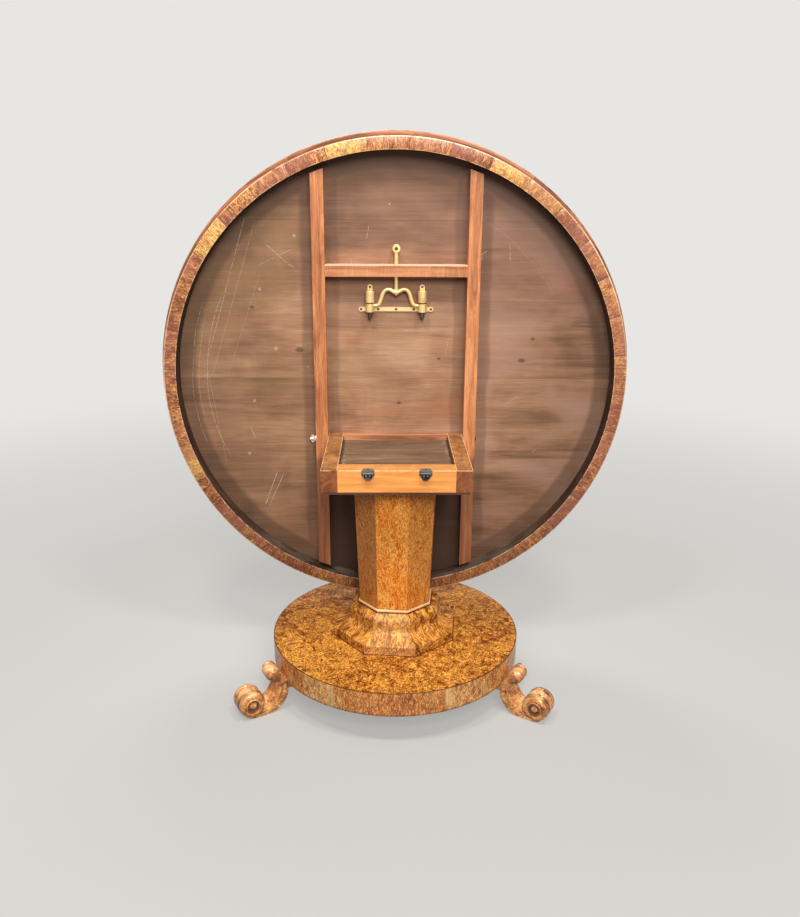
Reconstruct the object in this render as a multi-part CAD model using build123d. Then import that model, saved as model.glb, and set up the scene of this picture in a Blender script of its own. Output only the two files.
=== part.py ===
from build123d import *
import os
from math import cos, pi, radians, sin, sqrt

# Tilt-top circular breakfast table, shown with its top tipped upright behind the block.
# Millimetres. +Z is up, the catch side faces -Y, the show face of the upright top faces +Y.
# The origin is on the floor, under the centre of the plan's bounding rectangle.

os.makedirs("parts", exist_ok=True)

# ---- feet and platform ----
FOOT_TURNS = {"left": -61.5, "right": 58.5, "back": 178.5}   # degrees round from the front
FOOT_W = 58.0                   # width of the C-shaped strap
ROLL_AT, ROLL_Z = 467.5, 43.0   # centre of the lower roll: distance from the column axis, and height
ROLL_HALF, ROLL_FLAT = 35.0, 26.0   # half the roll's length, and half of its full-width drum
ROLL_R, ROLL_END_R = 38.0, 28.5
CURL_AT, CURL_Z, CURL_HALF, CURL_R = 402.0, 116.0, 31.0, 20.0
EYE_R0, EYE_R1, EYE_DEPTH = 12.5, 19.0, 5.0
CROWN = ((10.0, 1.0), (20.0, 0.62), (27.0, 0.0))   # half widths, and how much of the full thickness is left there
PLATFORM_R = 364.0
PLATFORM_Z0, PLATFORM_Z1 = 85.0, 154.0
SKIN = 1.5                      # thickness of the sawn veneers
RIM_SKIN = 2.5
BLOCK_Z0 = 67.0                 # underside of the foot blocks
FOOT_BLOCK_W = 58.0

# ---- column ----
COLUMN_TURN = -5.8              # the octagon stands a little turned from the block
COLLAR_PROFILE = [(0, 188.0), (26, 188.0), (28.5, 184.5), (31, 174.0), (34.5, 162.0), (38.5, 152.5),
                  (43, 145.5), (48, 141.0), (54, 138.6), (61, 138.0), (70, 138.6), (78, 138.4),
                  (84, 136.4), (89, 132.4), (93, 127.0), (96, 120.5), (98, 114.5)]
BEAD_H, BEAD_R = 8.0, 114.0
COLUMN_R0, COLUMN_R1 = 109.0, 125.5      # corner radius just above the collar and under the block
SPIGOT_R0, SPIGOT_R1 = 55.0, 45.0

# ---- block ----
BLOCK_HALF_W = 201.0
BLOCK_Y0, BLOCK_Y1 = -180.0, 200.0
BLOCK_ZB, BLOCK_ZT = 646.0, 707.0
SIDE_W, FRONT_RAIL, BACK_RAIL = 44.0, 56.0, 28.0
WELL_DEPTH, PANEL_T = 18.0, 12.0
BOARD_LIP = 8.0                 # bottom board showing under the frame
BOARD_T = 26.0
PIVOT_INSET = 17.0              # pivot axis from both the back face and the top of the block
SWING_GAP = 0.3

# ---- top ----
HOOP_R0, HOOP_R1 = 642.0, 677.5
HOOP_DEPTH = 57.0
BAND_T = 2.0
HOOP_FACING = 1.5
EDGE_R = 695.0
LIP_W = 12.0
PLANK_T = 19.0
PLANKS = 6
HOOP_SEGMENTS = 16
BAND_PIECES = 36
BAND_FIRST = 7.0                # degrees at which the first cross-banded piece starts
BEARER_X0, BEARER_X1 = 203.2, 239.5
BEARER_DEPTH = 41.0
BEARER_END_R = 627.0
RAIL_Z0, RAIL_Z1 = 1175.0, 1208.0

# ---- catch ----
BARREL_X, BARREL_R = 76.0, 13.0
BARREL_Z0, BARREL_Z1 = 1073.0, 1135.0
BOLT_R, BOLT_NOSE_Z, BOLT_TAIL_Z = 6.0, 1056.0, 1108.0
BOLT_OFF = 16.0                 # bolt axis from the underside of the top
THROW = 9.0
PLATE_T = 3.0
STEM_R = 6.0
KNOB_Z, KNOB_R = 1247.0, 12.0
PIN_R, PIN_GAP = 5.0, 0.06
STRIKE_OUT, STRIKE_HOLE_R = 8.0, 7.0

PIVOT_Y = BLOCK_Y1 - PIVOT_INSET
PIVOT_Z = BLOCK_ZT - PIVOT_INSET
TOP_Z = PIVOT_Z + PIVOT_Y       # so that the top is centred on the column once it is down
UNDER_Y = BLOCK_Y1 + SWING_GAP  # underside of the upright top
HOOP_Y = UNDER_Y - HOOP_DEPTH
BEARER_Y = UNDER_Y - BEARER_DEPTH
BOLT_Y = UNDER_Y - BOLT_OFF
SHOW_Y = UNDER_Y + PLANK_T + SKIN
back_lean = radians(180.0 - FOOT_TURNS["back"])
FOOT_REACH = (ROLL_AT + ROLL_R) * cos(back_lean) + ROLL_FLAT * sin(back_lean)
AXIS_Y = -(FOOT_REACH - PLATFORM_R) / 2  # where the column axis stands in the finished frame


def put(name, shapes):
    """Move finished pieces from the column's axis to the part's own frame and write them."""
    solids = shapes if isinstance(shapes, list) else [shapes]
    moved = [Pos(0, AXIS_Y, 0) * one for s in solids for one in s.solids()]
    export_step(moved[0] if len(moved) == 1 else Compound(children=moved), f"parts/{name}.step")


def slab(x0, x1, y0, y1, z0, z1):
    return Pos((x0 + x1) / 2, (y0 + y1) / 2, (z0 + z1) / 2) * Box(x1 - x0, y1 - y0, z1 - z0)


def rod(radius, z0, z1, x=0.0, y=0.0):
    return Pos(x, y, (z0 + z1) / 2) * Cylinder(radius, z1 - z0)


def rod_x(radius, x0, x1, y, z):
    return Pos((x0 + x1) / 2, y, z) * Rot(0, 90, 0) * Cylinder(radius, abs(x1 - x0))


def rod_y(radius, y0, y1, x, z):
    return Pos(x, (y0 + y1) / 2, z) * Rot(90, 0, 0) * Cylinder(radius, y1 - y0)


def disc(radius, y0, y1):
    """A disc of the upright top, centred on the top's own axis."""
    return rod_y(radius, y0, y1, 0, TOP_Z)


def wedge(radius, a0, a1, thickness):
    """A flat sector between two angles, reaching past the radius, from z = 0 up."""
    far = radius / cos(radians(a1 - a0) / 2) * 1.02
    pts = [(0, 0), (far * cos(radians(a0)), far * sin(radians(a0))),
           (far * cos(radians(a1)), far * sin(radians(a1)))]
    return extrude(make_face(Polyline(*pts, close=True)), thickness)


def octagon(radius, z):
    pts = [(radius * cos(radians(22.5 + 45 * k)), radius * sin(radians(22.5 + 45 * k)), z) for k in range(8)]
    return Wire.make_polygon(pts, close=True)


def facet(rows):
    """One mitred eighth of an octagonal skin: rows of (z, inner corner radius, outer corner radius)."""
    half = radians(22.5)
    rings = []
    for z, inner, outer in rows:
        pts = [(inner * cos(half), -inner * sin(half), z), (outer * cos(half), -outer * sin(half), z),
               (outer * cos(half), outer * sin(half), z), (inner * cos(half), inner * sin(half), z)]
        rings.append(Wire.make_polygon(pts, close=True))
    return Solid.make_loft(rings, ruled=True)


def turned_with_column(shape):
    return Rot(0, 0, COLUMN_TURN) * shape


# ---------------------------------------------------------------- platform
spigot_hole = rod(SPIGOT_R0 + 0.2, 108, PLATFORM_Z1 + 1)
core = rod(PLATFORM_R - RIM_SKIN, PLATFORM_Z0, PLATFORM_Z1 - SKIN)
rim = rod(PLATFORM_R, PLATFORM_Z0, PLATFORM_Z1 - SKIN) - core
core = core - spigot_hole
cover = chamfer(rod(PLATFORM_R, PLATFORM_Z1 - SKIN, PLATFORM_Z1).edges().group_by(Axis.Z)[-1], 1.2) - spigot_hole
eighths = [22.5 + COLUMN_TURN + 45 * k for k in range(8)]
sheets, rims = [], []
for a in eighths:
    part = Pos(0, 0, PLATFORM_Z0) * wedge(PLATFORM_R, a, a + 45, 80)
    sheets.append(cover & part)
    rims.append(rim & part)
put("platform_veneer", sheets)
put("platform_rim_band", rims)

# ---------------------------------------------------------------- feet
back_edge = [(400, 136), (388, 131), (374, 114.5), (366.5, 97), (361.5, 80), (360, 62), (366.5, 41), (384, 17),
             (404, 4), (430, 0)]
toe = [(458, 0), (478, 4), (490, 16), (493, 34)]
thin_edge = [(455, 9), (430, 12), (410, 21), (391, 38), (381, 58), (378, 80), (385, 97), (398, 104)]
thick_edge = [(455, 46), (437, 46), (424, 52), (412, 64), (404, 78), (399, 90), (398, 99), (402, 108)]


def strap_section(offset, fullness):
    """Outline of the C-shaped strap at an offset from its middle plane. Fullness 1 is its thick middle."""
    inner = [(x0 + (x1 - x0) * fullness, z0 + (z1 - z0) * fullness)
             for (x0, z0), (x1, z1) in zip(thin_edge, thick_edge)]
    edges = [Spline(*back_edge), Line(back_edge[-1], toe[0]), Spline(*toe), Line(toe[-1], inner[0]),
             Spline(*inner), Line(inner[-1], back_edge[0])]
    return Plane(origin=(0, offset, 0), x_dir=(1, 0, 0), z_dir=(0, -1, 0)) * make_face(edges)


def turned_across(profile, at, z):
    """A barrel turned about an axis that runs across the foot, from (offset, radius) pairs."""
    flat = make_face(Polyline(*[(r, o) for o, r in profile], close=True))
    return Pos(at, 0, z) * Rot(90, 0, 0) * revolve(Plane.XZ * flat, Axis.Z)


scroll = extrude(strap_section(0, 1.0), CROWN[0][0], both=True)
for side in (-1, 1):
    for (o0, f0), (o1, f1) in zip(CROWN, CROWN[1:]):
        scroll = scroll + loft([strap_section(side * o0, f0), strap_section(side * o1, f1)], ruled=True)
scroll = scroll + extrude(strap_section(0, 0.0), FOOT_W / 2, both=True)
drum = [(ROLL_FLAT, ROLL_R), (ROLL_FLAT + 5.5, ROLL_R - 1.5), (ROLL_FLAT + 7.5, ROLL_R - 5),
        (ROLL_HALF - 1, ROLL_END_R + 1.5), (ROLL_HALF, ROLL_END_R)]
scroll = scroll + turned_across([(-o, r) for o, r in reversed(drum)] + drum + [(ROLL_HALF, 0), (-ROLL_HALF, 0)],
                                ROLL_AT, ROLL_Z)
curl = [(16, CURL_R - 0.5), (24, CURL_R - 3), (CURL_HALF - 2, CURL_R - 7), (CURL_HALF, CURL_R - 10)]
scroll = scroll + turned_across([(-o, r) for o, r in reversed(curl)] + curl + [(CURL_HALF, 0), (-CURL_HALF, 0)],
                                CURL_AT, CURL_Z)
for side in (-1, 1):
    face_y = side * ROLL_HALF
    groove = rod_y(EYE_R1, face_y - EYE_DEPTH, face_y + EYE_DEPTH, ROLL_AT, ROLL_Z)
    scroll = scroll - (groove - rod_y(EYE_R0, -60, 60, ROLL_AT, ROLL_Z))
scroll = scroll - rod(PLATFORM_R + 0.3, PLATFORM_Z0 - 0.1, PLATFORM_Z1 + 20)
tongue = slab(325, 372, -15, 15, 70, 82)
foot = scroll - slab(300, 367.2, -40, 40, BLOCK_Z0 - 0.2, PLATFORM_Z0) + tongue
block = slab(262, 367, -FOOT_BLOCK_W / 2, FOOT_BLOCK_W / 2, BLOCK_Z0, PLATFORM_Z0)
block = block - slab(324, 380, -15.2, 15.2, 69.8, 82.2)
block = chamfer(block.edges().filter_by(Axis.Y).sort_by(Axis.X)[:2].sort_by(Axis.Z)[0], 8)
screw_at = [(285, 0), (306, -17), (306, 17)]
screws, holes = [], []
for x, y in screw_at:
    head = Pos(x, y, BLOCK_Z0 + 1.5) * Cone(4.5, 2.25, 3.0)
    slot = slab(x - 6, x + 6, y - 0.5, y + 0.5, BLOCK_Z0 - 1, BLOCK_Z0 + 1.2)
    shank = rod(2.25, BLOCK_Z0 + 3, 112, x, y)
    screws.append((head + shank) - slot)
    holes.append(head + shank)
for hole in holes:
    block = block - hole
block_screws = []
for name, turn in FOOT_TURNS.items():
    place = Rot(0, 0, turn - 90)
    put(f"foot_{name}", place * foot)
    put(f"foot_block_{name}", place * block)
    for screw, hole in zip(screws, holes):
        block_screws.append(place * screw)
        core = core - place * hole
put("foot_block_screws", block_screws)
put("platform_core", core)

# ---------------------------------------------------------------- collar, bead and column
collar = Solid.make_loft([octagon(r, PLATFORM_Z1 + z) for z, r in COLLAR_PROFILE], ruled=True)
collar = collar - rod(SPIGOT_R0 + 0.2, 100, 300)
put("collar", turned_with_column(collar))

COLUMN_Z0 = PLATFORM_Z1 + COLLAR_PROFILE[-1][0]
COLUMN_Z1 = BLOCK_ZB - BOARD_LIP


def column_r(z):
    return COLUMN_R0 + (COLUMN_R1 - COLUMN_R0) * (z - COLUMN_Z0) / (COLUMN_Z1 - COLUMN_Z0)


zs = (COLUMN_Z0, COLUMN_Z1)
shaft = Solid.make_loft([octagon(column_r(z) - 1.7, z) for z in zs], ruled=True)
shaft = shaft + rod(SPIGOT_R0, 110, COLUMN_Z0 + 5) + rod(SPIGOT_R1, COLUMN_Z1 - 5, COLUMN_Z1 + BOARD_T)
put("column_core", turned_with_column(shaft))
sheet = facet([(z, column_r(z) - 1.7, column_r(z)) for z in zs])
put("column_veneer", [turned_with_column(Rot(0, 0, 45 * k) * sheet) for k in range(8)])
bead_rows = [(0.0, BEAD_R - 1.6), (1.6, BEAD_R), (BEAD_H - 1.6, BEAD_R), (BEAD_H, BEAD_R - 1.6)]
strip = facet([(COLUMN_Z0 + h, column_r(COLUMN_Z0 + h), r) for h, r in bead_rows])
put("collar_bead", [turned_with_column(Rot(0, 0, 45 * k) * strip) for k in range(8)])

# ---------------------------------------------------------------- block on the column
inner = BLOCK_HALF_W - SIDE_W
TENON, TENON_Z0, TENON_Z1 = 22.0, 660.0, 690.0
swing = Pos(0, PIVOT_Y, PIVOT_Z) * Rot(0, 90, 0) * Cylinder(PIVOT_INSET, 2 * BLOCK_HALF_W + 10)
corner = slab(-250, 250, PIVOT_Y, BLOCK_Y1 + 5, PIVOT_Z, BLOCK_ZT + 5) - swing
front_tenon = slab(-inner - TENON, inner + TENON, BLOCK_Y0 + 18, BLOCK_Y0 + 36, TENON_Z0, TENON_Z1)
back_tenon = slab(-inner - TENON, inner + TENON, BLOCK_Y1 - 28 + 8, BLOCK_Y1 - 28 + 18, TENON_Z0 - 8, TENON_Z1 - 16)
side = slab(inner, BLOCK_HALF_W, BLOCK_Y0, BLOCK_Y1, BLOCK_ZB, BLOCK_ZT) - front_tenon - back_tenon - corner
pin_hole = rod_x(PIN_R, BLOCK_HALF_W - 36, BLOCK_HALF_W + 5, PIVOT_Y, PIVOT_Z)
side = side - pin_hole
front_rail = slab(-inner, inner, BLOCK_Y0, BLOCK_Y0 + FRONT_RAIL, BLOCK_ZB, BLOCK_ZT) + front_tenon
back_rail = (slab(-inner, inner, BLOCK_Y1 - BACK_RAIL, BLOCK_Y1, BLOCK_ZB, BLOCK_ZT) - corner) + back_tenon
panel_z = BLOCK_ZT - WELL_DEPTH
panel = slab(-inner + 0.2, inner - 0.2, BLOCK_Y0 + FRONT_RAIL + 0.2, BLOCK_Y1 - BACK_RAIL - 0.2,
             panel_z - PANEL_T, panel_z)
board = slab(-BLOCK_HALF_W + 5, BLOCK_HALF_W - 5, BLOCK_Y0 + 5, BLOCK_Y1 - 5, BLOCK_ZB - BOARD_LIP, BLOCK_ZB)
board = board + slab(-inner + 0.2, inner - 0.2, BLOCK_Y0 + FRONT_RAIL + 0.2, BLOCK_Y1 - BACK_RAIL - 0.2,
                     BLOCK_ZB, COLUMN_Z1 + BOARD_T)
board = board - rod(SPIGOT_R1 + 0.1, 600, 700)
cleat_x = inner - 0.2
cleats = [slab(s * cleat_x, s * (cleat_x - 16), -110, 160, COLUMN_Z1 + BOARD_T, panel_z - PANEL_T) if s < 0 else
          slab(s * (cleat_x - 16), s * cleat_x, -110, 160, COLUMN_Z1 + BOARD_T, panel_z - PANEL_T) for s in (-1, 1)]

# strikes: a steel leaf let into the rail's top and a pointed keep standing out in front
STRIKE_Z = PIVOT_Z + (BOLT_Y - PIVOT_Y)
leaf_y1 = BLOCK_Y0 + 20
leaf = slab(-15, 15, BLOCK_Y0, leaf_y1, BLOCK_ZT - 2, BLOCK_ZT)
leaf = fillet(leaf.edges().filter_by(Axis.Z).group_by(Axis.Y)[-1], 9)
keep_pts = [(-17, BLOCK_ZT), (17, BLOCK_ZT), (17, BLOCK_ZT - 12), (6, BLOCK_ZT - 27), (-6, BLOCK_ZT - 27),
            (-17, BLOCK_ZT - 12)]
tip_pts = [(-12, BLOCK_ZT - 1.5), (12, BLOCK_ZT - 1.5), (12, BLOCK_ZT - 13), (4.5, BLOCK_ZT - 24),
           (-4.5, BLOCK_ZT - 24), (-12, BLOCK_ZT - 13)]
keep = Solid.make_loft([Wire.make_polygon([(x, y, z) for x, z in pts], close=True) for pts, y in
                        ((keep_pts, BLOCK_Y0), (keep_pts, BLOCK_Y0 - 2), (tip_pts, BLOCK_Y0 - STRIKE_OUT))],
                       ruled=True)
strike = leaf + keep - rod_y(STRIKE_HOLE_R, BLOCK_Y0 - 20, BLOCK_Y0 - 1.5, 0, STRIKE_Z)
strike_head = Pos(0, BLOCK_Y0 + 10, BLOCK_ZT - 1) * Cone(2.0, 3.6, 2.0)
strike_shank = rod(2.0, BLOCK_ZT - 16, BLOCK_ZT - 2, 0, BLOCK_Y0 + 10)
strike_slot = slab(-4, 4, BLOCK_Y0 + 9.6, BLOCK_Y0 + 10.4, BLOCK_ZT - 0.8, BLOCK_ZT + 1)
strike = strike - strike_head
strike_screws = []
for name, s in (("left", -1), ("right", 1)):
    put(f"strike_{name}", Pos(s * BARREL_X, 0, 0) * strike)
    front_rail = front_rail - Pos(s * BARREL_X, 0, 0) * leaf - Pos(s * BARREL_X, 0, 0) * strike_shank
    strike_screws.append(Pos(s * BARREL_X, 0, 0) * (strike_head + strike_shank - strike_slot))
put("strike_screws", strike_screws)
put("block_side_right", side)
put("block_side_left", mirror(side, Plane.YZ))
put("block_front_rail", front_rail)
put("block_back_rail", back_rail)
put("block_panel", panel)
put("block_bottom_board", board)
put("panel_cleats", cleats)

# pivots: a nutted stud on the left, a round-headed screw on the right
pin_x0, out_x = BLOCK_HALF_W - 36, BEARER_X1 + 0.2
stud = rod_x(PIN_R, -pin_x0, -(out_x + 20), PIVOT_Y, PIVOT_Z)
stud = chamfer(stud.edges().sort_by(Axis.X)[0], 1.2)
washer = rod_x(12, -out_x, -(out_x + 2), PIVOT_Y, PIVOT_Z) - rod_x(PIN_R, -100, -300, PIVOT_Y, PIVOT_Z)
nut = extrude(Plane.YZ * RegularPolygon(9.8, 6), 8)
nut = Pos(-(out_x + 10), PIVOT_Y, PIVOT_Z) * nut - rod_x(PIN_R, -100, -300, PIVOT_Y, PIVOT_Z)
round_head = Polyline((0, pin_x0), (PIN_R, pin_x0), (PIN_R, out_x), (8.1, out_x)) + ThreePointArc(
    (8.1, out_x), (6.0, out_x + 3.8), (0, out_x + 5.5)) + Line((0, out_x + 5.5), (0, pin_x0))
screw = Pos(0, PIVOT_Y, PIVOT_Z) * Rot(0, 90, 0) * revolve(Plane.XZ * make_face(round_head), Axis.Z)
screw = screw - slab(out_x + 4, out_x + 10, PIVOT_Y - 12, PIVOT_Y + 12, PIVOT_Z - 0.8, PIVOT_Z + 0.8)
put("pivot_stud_left", stud)
put("pivot_washer_left", washer)
put("pivot_nut_left", nut)
put("pivot_screw_right", screw)

# ---------------------------------------------------------------- top
lip_r = EDGE_R - LIP_W
span = 2 * lip_r / PLANKS
planks = []
for k in range(PLANKS):
    z0 = TOP_Z - lip_r + k * span
    planks.append((disc(lip_r, UNDER_Y, UNDER_Y + PLANK_T) & slab(-800, 800, 0, 400, z0, z0 + span)).solid())
face = disc(lip_r, UNDER_Y + PLANK_T, SHOW_Y)
upright = Pos(0, 0, TOP_Z) * Rot(-90, 0, 0)
show = [face & (upright * Pos(0, 0, UNDER_Y) * wedge(lip_r, 22.5 + 45 * k, 67.5 + 45 * k, 60)) for k in range(8)]
put("show_veneer", show)
edge = disc(EDGE_R, UNDER_Y, SHOW_Y) - disc(lip_r, 0, 400)
rims_out = edge.edges().filter_by(GeomType.CIRCLE).group_by(SortBy.RADIUS)[-1].sort_by(Axis.Y)
edge = fillet(rims_out[-1], 8)
edge = fillet(edge.edges().filter_by(GeomType.CIRCLE).sort_by(Axis.Y)[:2].sort_by(SortBy.RADIUS)[-1], 5)
put("edge_lipping", edge)

facing_r = HOOP_R1 - HOOP_FACING
hoop = disc(facing_r, HOOP_Y + BAND_T, UNDER_Y) - disc(HOOP_R0, 0, 400)
step = 360 / HOOP_SEGMENTS
put("hoop_segments", [hoop & (upright * wedge(HOOP_R1, (k + 0.5) * step, (k + 1.5) * step, 300))
                      for k in range(HOOP_SEGMENTS)])
put("hoop_facing", disc(HOOP_R1, HOOP_Y + BAND_T, UNDER_Y) - disc(facing_r, 0, 400))
band = disc(HOOP_R1, HOOP_Y, HOOP_Y + BAND_T) - disc(HOOP_R0, 0, 400)
band = chamfer(band.edges().filter_by(GeomType.CIRCLE).group_by(Axis.Y)[0].sort_by(SortBy.RADIUS)[-1], 1.2)
step = 360 / BAND_PIECES
put("hoop_crossband", [band & (upright * wedge(HOOP_R1, BAND_FIRST + k * step, BAND_FIRST + (k + 1) * step, 300))
                       for k in range(BAND_PIECES)])

cross = slab(-BEARER_X0, BEARER_X0, BEARER_Y, UNDER_Y, RAIL_Z0, RAIL_Z1)
rail_tenon = slab(-BEARER_X0 - 16, BEARER_X0 + 16, BEARER_Y + 14, BEARER_Y + 27, RAIL_Z0 + 6, RAIL_Z1 - 6)
bearer = (slab(BEARER_X0, BEARER_X1, BEARER_Y, UNDER_Y, 0, 2000) & disc(BEARER_END_R, 0, 400)).solid()
bearer = bearer - rail_tenon - rod_x(PIN_R + PIN_GAP, 190, 260, PIVOT_Y, PIVOT_Z)
put("bearer_right", bearer)
put("bearer_left", mirror(bearer, Plane.YZ))
put("cross_rail", cross + rail_tenon - rod(STEM_R + 0.1, 1100, 1300, 0, BOLT_Y))

# ---------------------------------------------------------------- catch
plate_y = UNDER_Y - PLATE_T
bar_z1 = BARREL_Z0 + 12
ears = [(-102.0, BARREL_Z0 + 6), (102.0, BARREL_Z0 + 6), (-BARREL_X, BARREL_Z1 + 8), (BARREL_X, BARREL_Z1 + 8)]
plate = slab(-100, 100, plate_y, UNDER_Y, BARREL_Z0, bar_z1)
for s in (-1, 1):
    plate = plate + slab(s * BARREL_X - 7, s * BARREL_X + 7, plate_y, UNDER_Y, BARREL_Z0, BARREL_Z1 + 6)
for x, z in ears:
    plate = plate + rod_y(7, plate_y, UNDER_Y, x, z)
catch_screws = []
for x, z in ears + [(-52.0, BARREL_Z0 + 6), (0.0, BARREL_Z0 + 6), (52.0, BARREL_Z0 + 6)]:
    head = Pos(x, plate_y + 1.2, z) * Rot(-90, 0, 0) * Cone(3.8, 1.8, 2.4)
    shank = rod_y(1.8, plate_y + 2.4, UNDER_Y + 12, x, z)
    slot = Pos(x, plate_y, z) * Rot(0, 30, 0) * Box(10, 1.2, 0.8)
    catch_screws.append(head + shank - slot)
    plate = plate - head - shank
    planks = [p - shank if abs(p.center().Z - z) < span else p for p in planks]
put("catch_plate", plate)
put("catch_screws", catch_screws)
for k, plank in enumerate(planks):
    put(f"plank_{k + 1}", plank)

barrel = rod(BARREL_R, BARREL_Z0, BARREL_Z1, BARREL_X, BOLT_Y)
barrel = fillet(barrel.edges().group_by(Axis.Z)[-1], 4)
barrel = barrel + slab(BARREL_X - 7, BARREL_X + 7, BOLT_Y, plate_y, BARREL_Z0, BARREL_Z1 - 4)
neck = rod(BARREL_R + 2, BARREL_Z0 + 24, BARREL_Z0 + 27, BARREL_X, BOLT_Y) - rod(
    BARREL_R - 1.5, 1000, 1200, BARREL_X, BOLT_Y)
barrel = barrel - (neck - slab(0, 200, BOLT_Y + 5, 400, 1000, 1200))
foot_z = BARREL_Z0 + 18
barrel = barrel - rod(BOLT_R + 0.05, 1000, BARREL_Z1 - 8, BARREL_X, BOLT_Y)
barrel = barrel - slab(BARREL_X - 30, BARREL_X, BOLT_Y - 5.3, BOLT_Y + 5.3, foot_z - 5.5, foot_z + THROW + 5.5)
nose = rod(BOLT_R, BOLT_NOSE_Z, BOLT_TAIL_Z, BARREL_X, BOLT_Y)
nose = chamfer(nose.edges().group_by(Axis.Z)[0], 1.5)
nose = nose - slab(0, BARREL_X, BOLT_Y - 5.0, BOLT_Y + 5.0, foot_z - 5.0, foot_z + 5.0)
coil = Helix(pitch=3.0, height=17.4, radius=4.2, center=(BARREL_X, BOLT_Y, BOLT_TAIL_Z + 0.75))
wire = sweep(Plane(origin=coil @ 0, z_dir=coil % 0) * Circle(0.7), path=coil)
for name, flip in (("right", False), ("left", True)):
    put(f"catch_barrel_{name}", mirror(barrel, Plane.YZ) if flip else barrel)
    put(f"catch_bolt_{name}", mirror(nose, Plane.YZ) if flip else nose)
    put(f"catch_spring_{name}", mirror(wire, Plane.YZ) if flip else wire)

# bow lever: one bent rod joining both bolts, with the pull stem at its middle
lever_y = BOLT_Y
arm_top = foot_z + 43
path = FilletPolyline((BARREL_X - 1, foot_z), (50, foot_z), (38, foot_z + 24), (30, arm_top), (0, arm_top), radius=8)
half_path = Plane(origin=(0, lever_y, 0), x_dir=(1, 0, 0), z_dir=(0, -1, 0)) * path
arm = sweep(Plane(origin=half_path @ 0, z_dir=half_path % 0) * Circle(4.8), path=half_path)
arm = arm - slab(BARREL_X - 0.01, 200, 0, 400, 1000, 1200)
boss = Pos(0, lever_y, foot_z + 40) * Cone(2.0, 6.5, 12)
stem = rod(STEM_R, foot_z + 44, KNOB_Z, 0, lever_y)
lever = arm + mirror(arm, Plane.YZ) + boss + stem
knob = rod_y(KNOB_R, lever_y - 7.5, lever_y + 4.5, 0, KNOB_Z + 5)
knob = chamfer(knob.edges(), 1.5) - rod_y(4, lever_y - 10, lever_y - 3, 0, KNOB_Z + 5)
stem_cut = rod(STEM_R, 1100, KNOB_Z, 0, lever_y)
put("catch_lever", lever)
put("catch_knob", knob - stem_cut)
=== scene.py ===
# %% [markdown]
# # A tilt-top centre table with its top tipped up
#
# The table stands on a round platform with scroll feet. An octagonal column carries a block, and the round top
# tips on two pivots at the block's back. The CAD model is the frame: it says where everything is, so the main sizes
# below are read from it, and this lesson gives the pieces their soft edges, their veneers and their metal.

import math

import bmesh
import bpy
from mathutils import Matrix, Vector
from mathutils.geometry import interpolate_bezier


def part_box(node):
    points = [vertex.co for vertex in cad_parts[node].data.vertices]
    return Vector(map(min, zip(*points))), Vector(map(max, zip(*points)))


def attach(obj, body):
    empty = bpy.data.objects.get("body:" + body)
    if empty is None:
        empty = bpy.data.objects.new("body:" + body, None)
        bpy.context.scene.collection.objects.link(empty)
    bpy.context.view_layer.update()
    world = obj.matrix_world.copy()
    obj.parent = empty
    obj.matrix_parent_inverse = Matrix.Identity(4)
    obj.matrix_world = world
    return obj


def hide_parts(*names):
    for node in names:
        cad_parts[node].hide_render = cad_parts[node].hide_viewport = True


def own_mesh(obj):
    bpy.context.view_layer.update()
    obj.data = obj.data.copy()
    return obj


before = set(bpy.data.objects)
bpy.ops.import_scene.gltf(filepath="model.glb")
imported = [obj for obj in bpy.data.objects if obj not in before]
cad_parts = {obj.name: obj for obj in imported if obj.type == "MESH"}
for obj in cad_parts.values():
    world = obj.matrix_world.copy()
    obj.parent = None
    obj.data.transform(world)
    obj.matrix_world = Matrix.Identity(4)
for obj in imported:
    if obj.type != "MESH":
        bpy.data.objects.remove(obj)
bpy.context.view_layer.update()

# %% [markdown]
# ## Places read from the frame
#
# A round piece's box gives its centre and its radius. The column's axis is the platform's centre, and the middle
# of the tipped top is the middle of its show veneer.

# %% Read the main places
platform_low, platform_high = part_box("platform_core")
AXIS = (platform_low + platform_high) / 2
leaf_low, leaf_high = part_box("show_veneer")
TOP_MIDDLE = (leaf_low + leaf_high) / 2
edge_low, edge_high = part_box("edge_lipping")
EDGE_RADIUS = (edge_high.x - edge_low.x) / 2
band_low, band_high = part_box("hoop_crossband")
BAND_RADIUS = (band_high.x - band_low.x) / 2
print("column axis", tuple(AXIS), "top centre", tuple(TOP_MIDDLE), "edge radius", EDGE_RADIUS)

# %% [markdown]
# ## The camera
#
# The eye is a little above a standing person's belt, looking down at the table. A lens of moderate width is what
# makes the platform look so round while the top stays a true circle.

# %% Set up the camera
EYE = Vector((-0.0277, AXIS.y - 2.2498, 1.3919))
PITCH_DOWN = math.radians(17.46)
TURN_RIGHT = math.radians(0.985)
LEAN = 0.0065                    # the camera leans to one side by this angle, in radians
view = bpy.data.cameras.new("view")
view.sensor_width = 36.0
view.lens = 32.64
camera = bpy.data.objects.new("camera", view)
bpy.context.scene.collection.objects.link(camera)
aim = Matrix.Rotation(-TURN_RIGHT, 4, "Z") @ Matrix.Rotation(math.pi / 2 - PITCH_DOWN, 4, "X")
camera.matrix_world = Matrix.Translation(EYE) @ aim @ Matrix.Rotation(LEAN, 4, "Z")
bpy.context.scene.camera = camera
bpy.context.scene.view_settings.view_transform = "Standard"
print("camera at", tuple(EYE))
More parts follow.
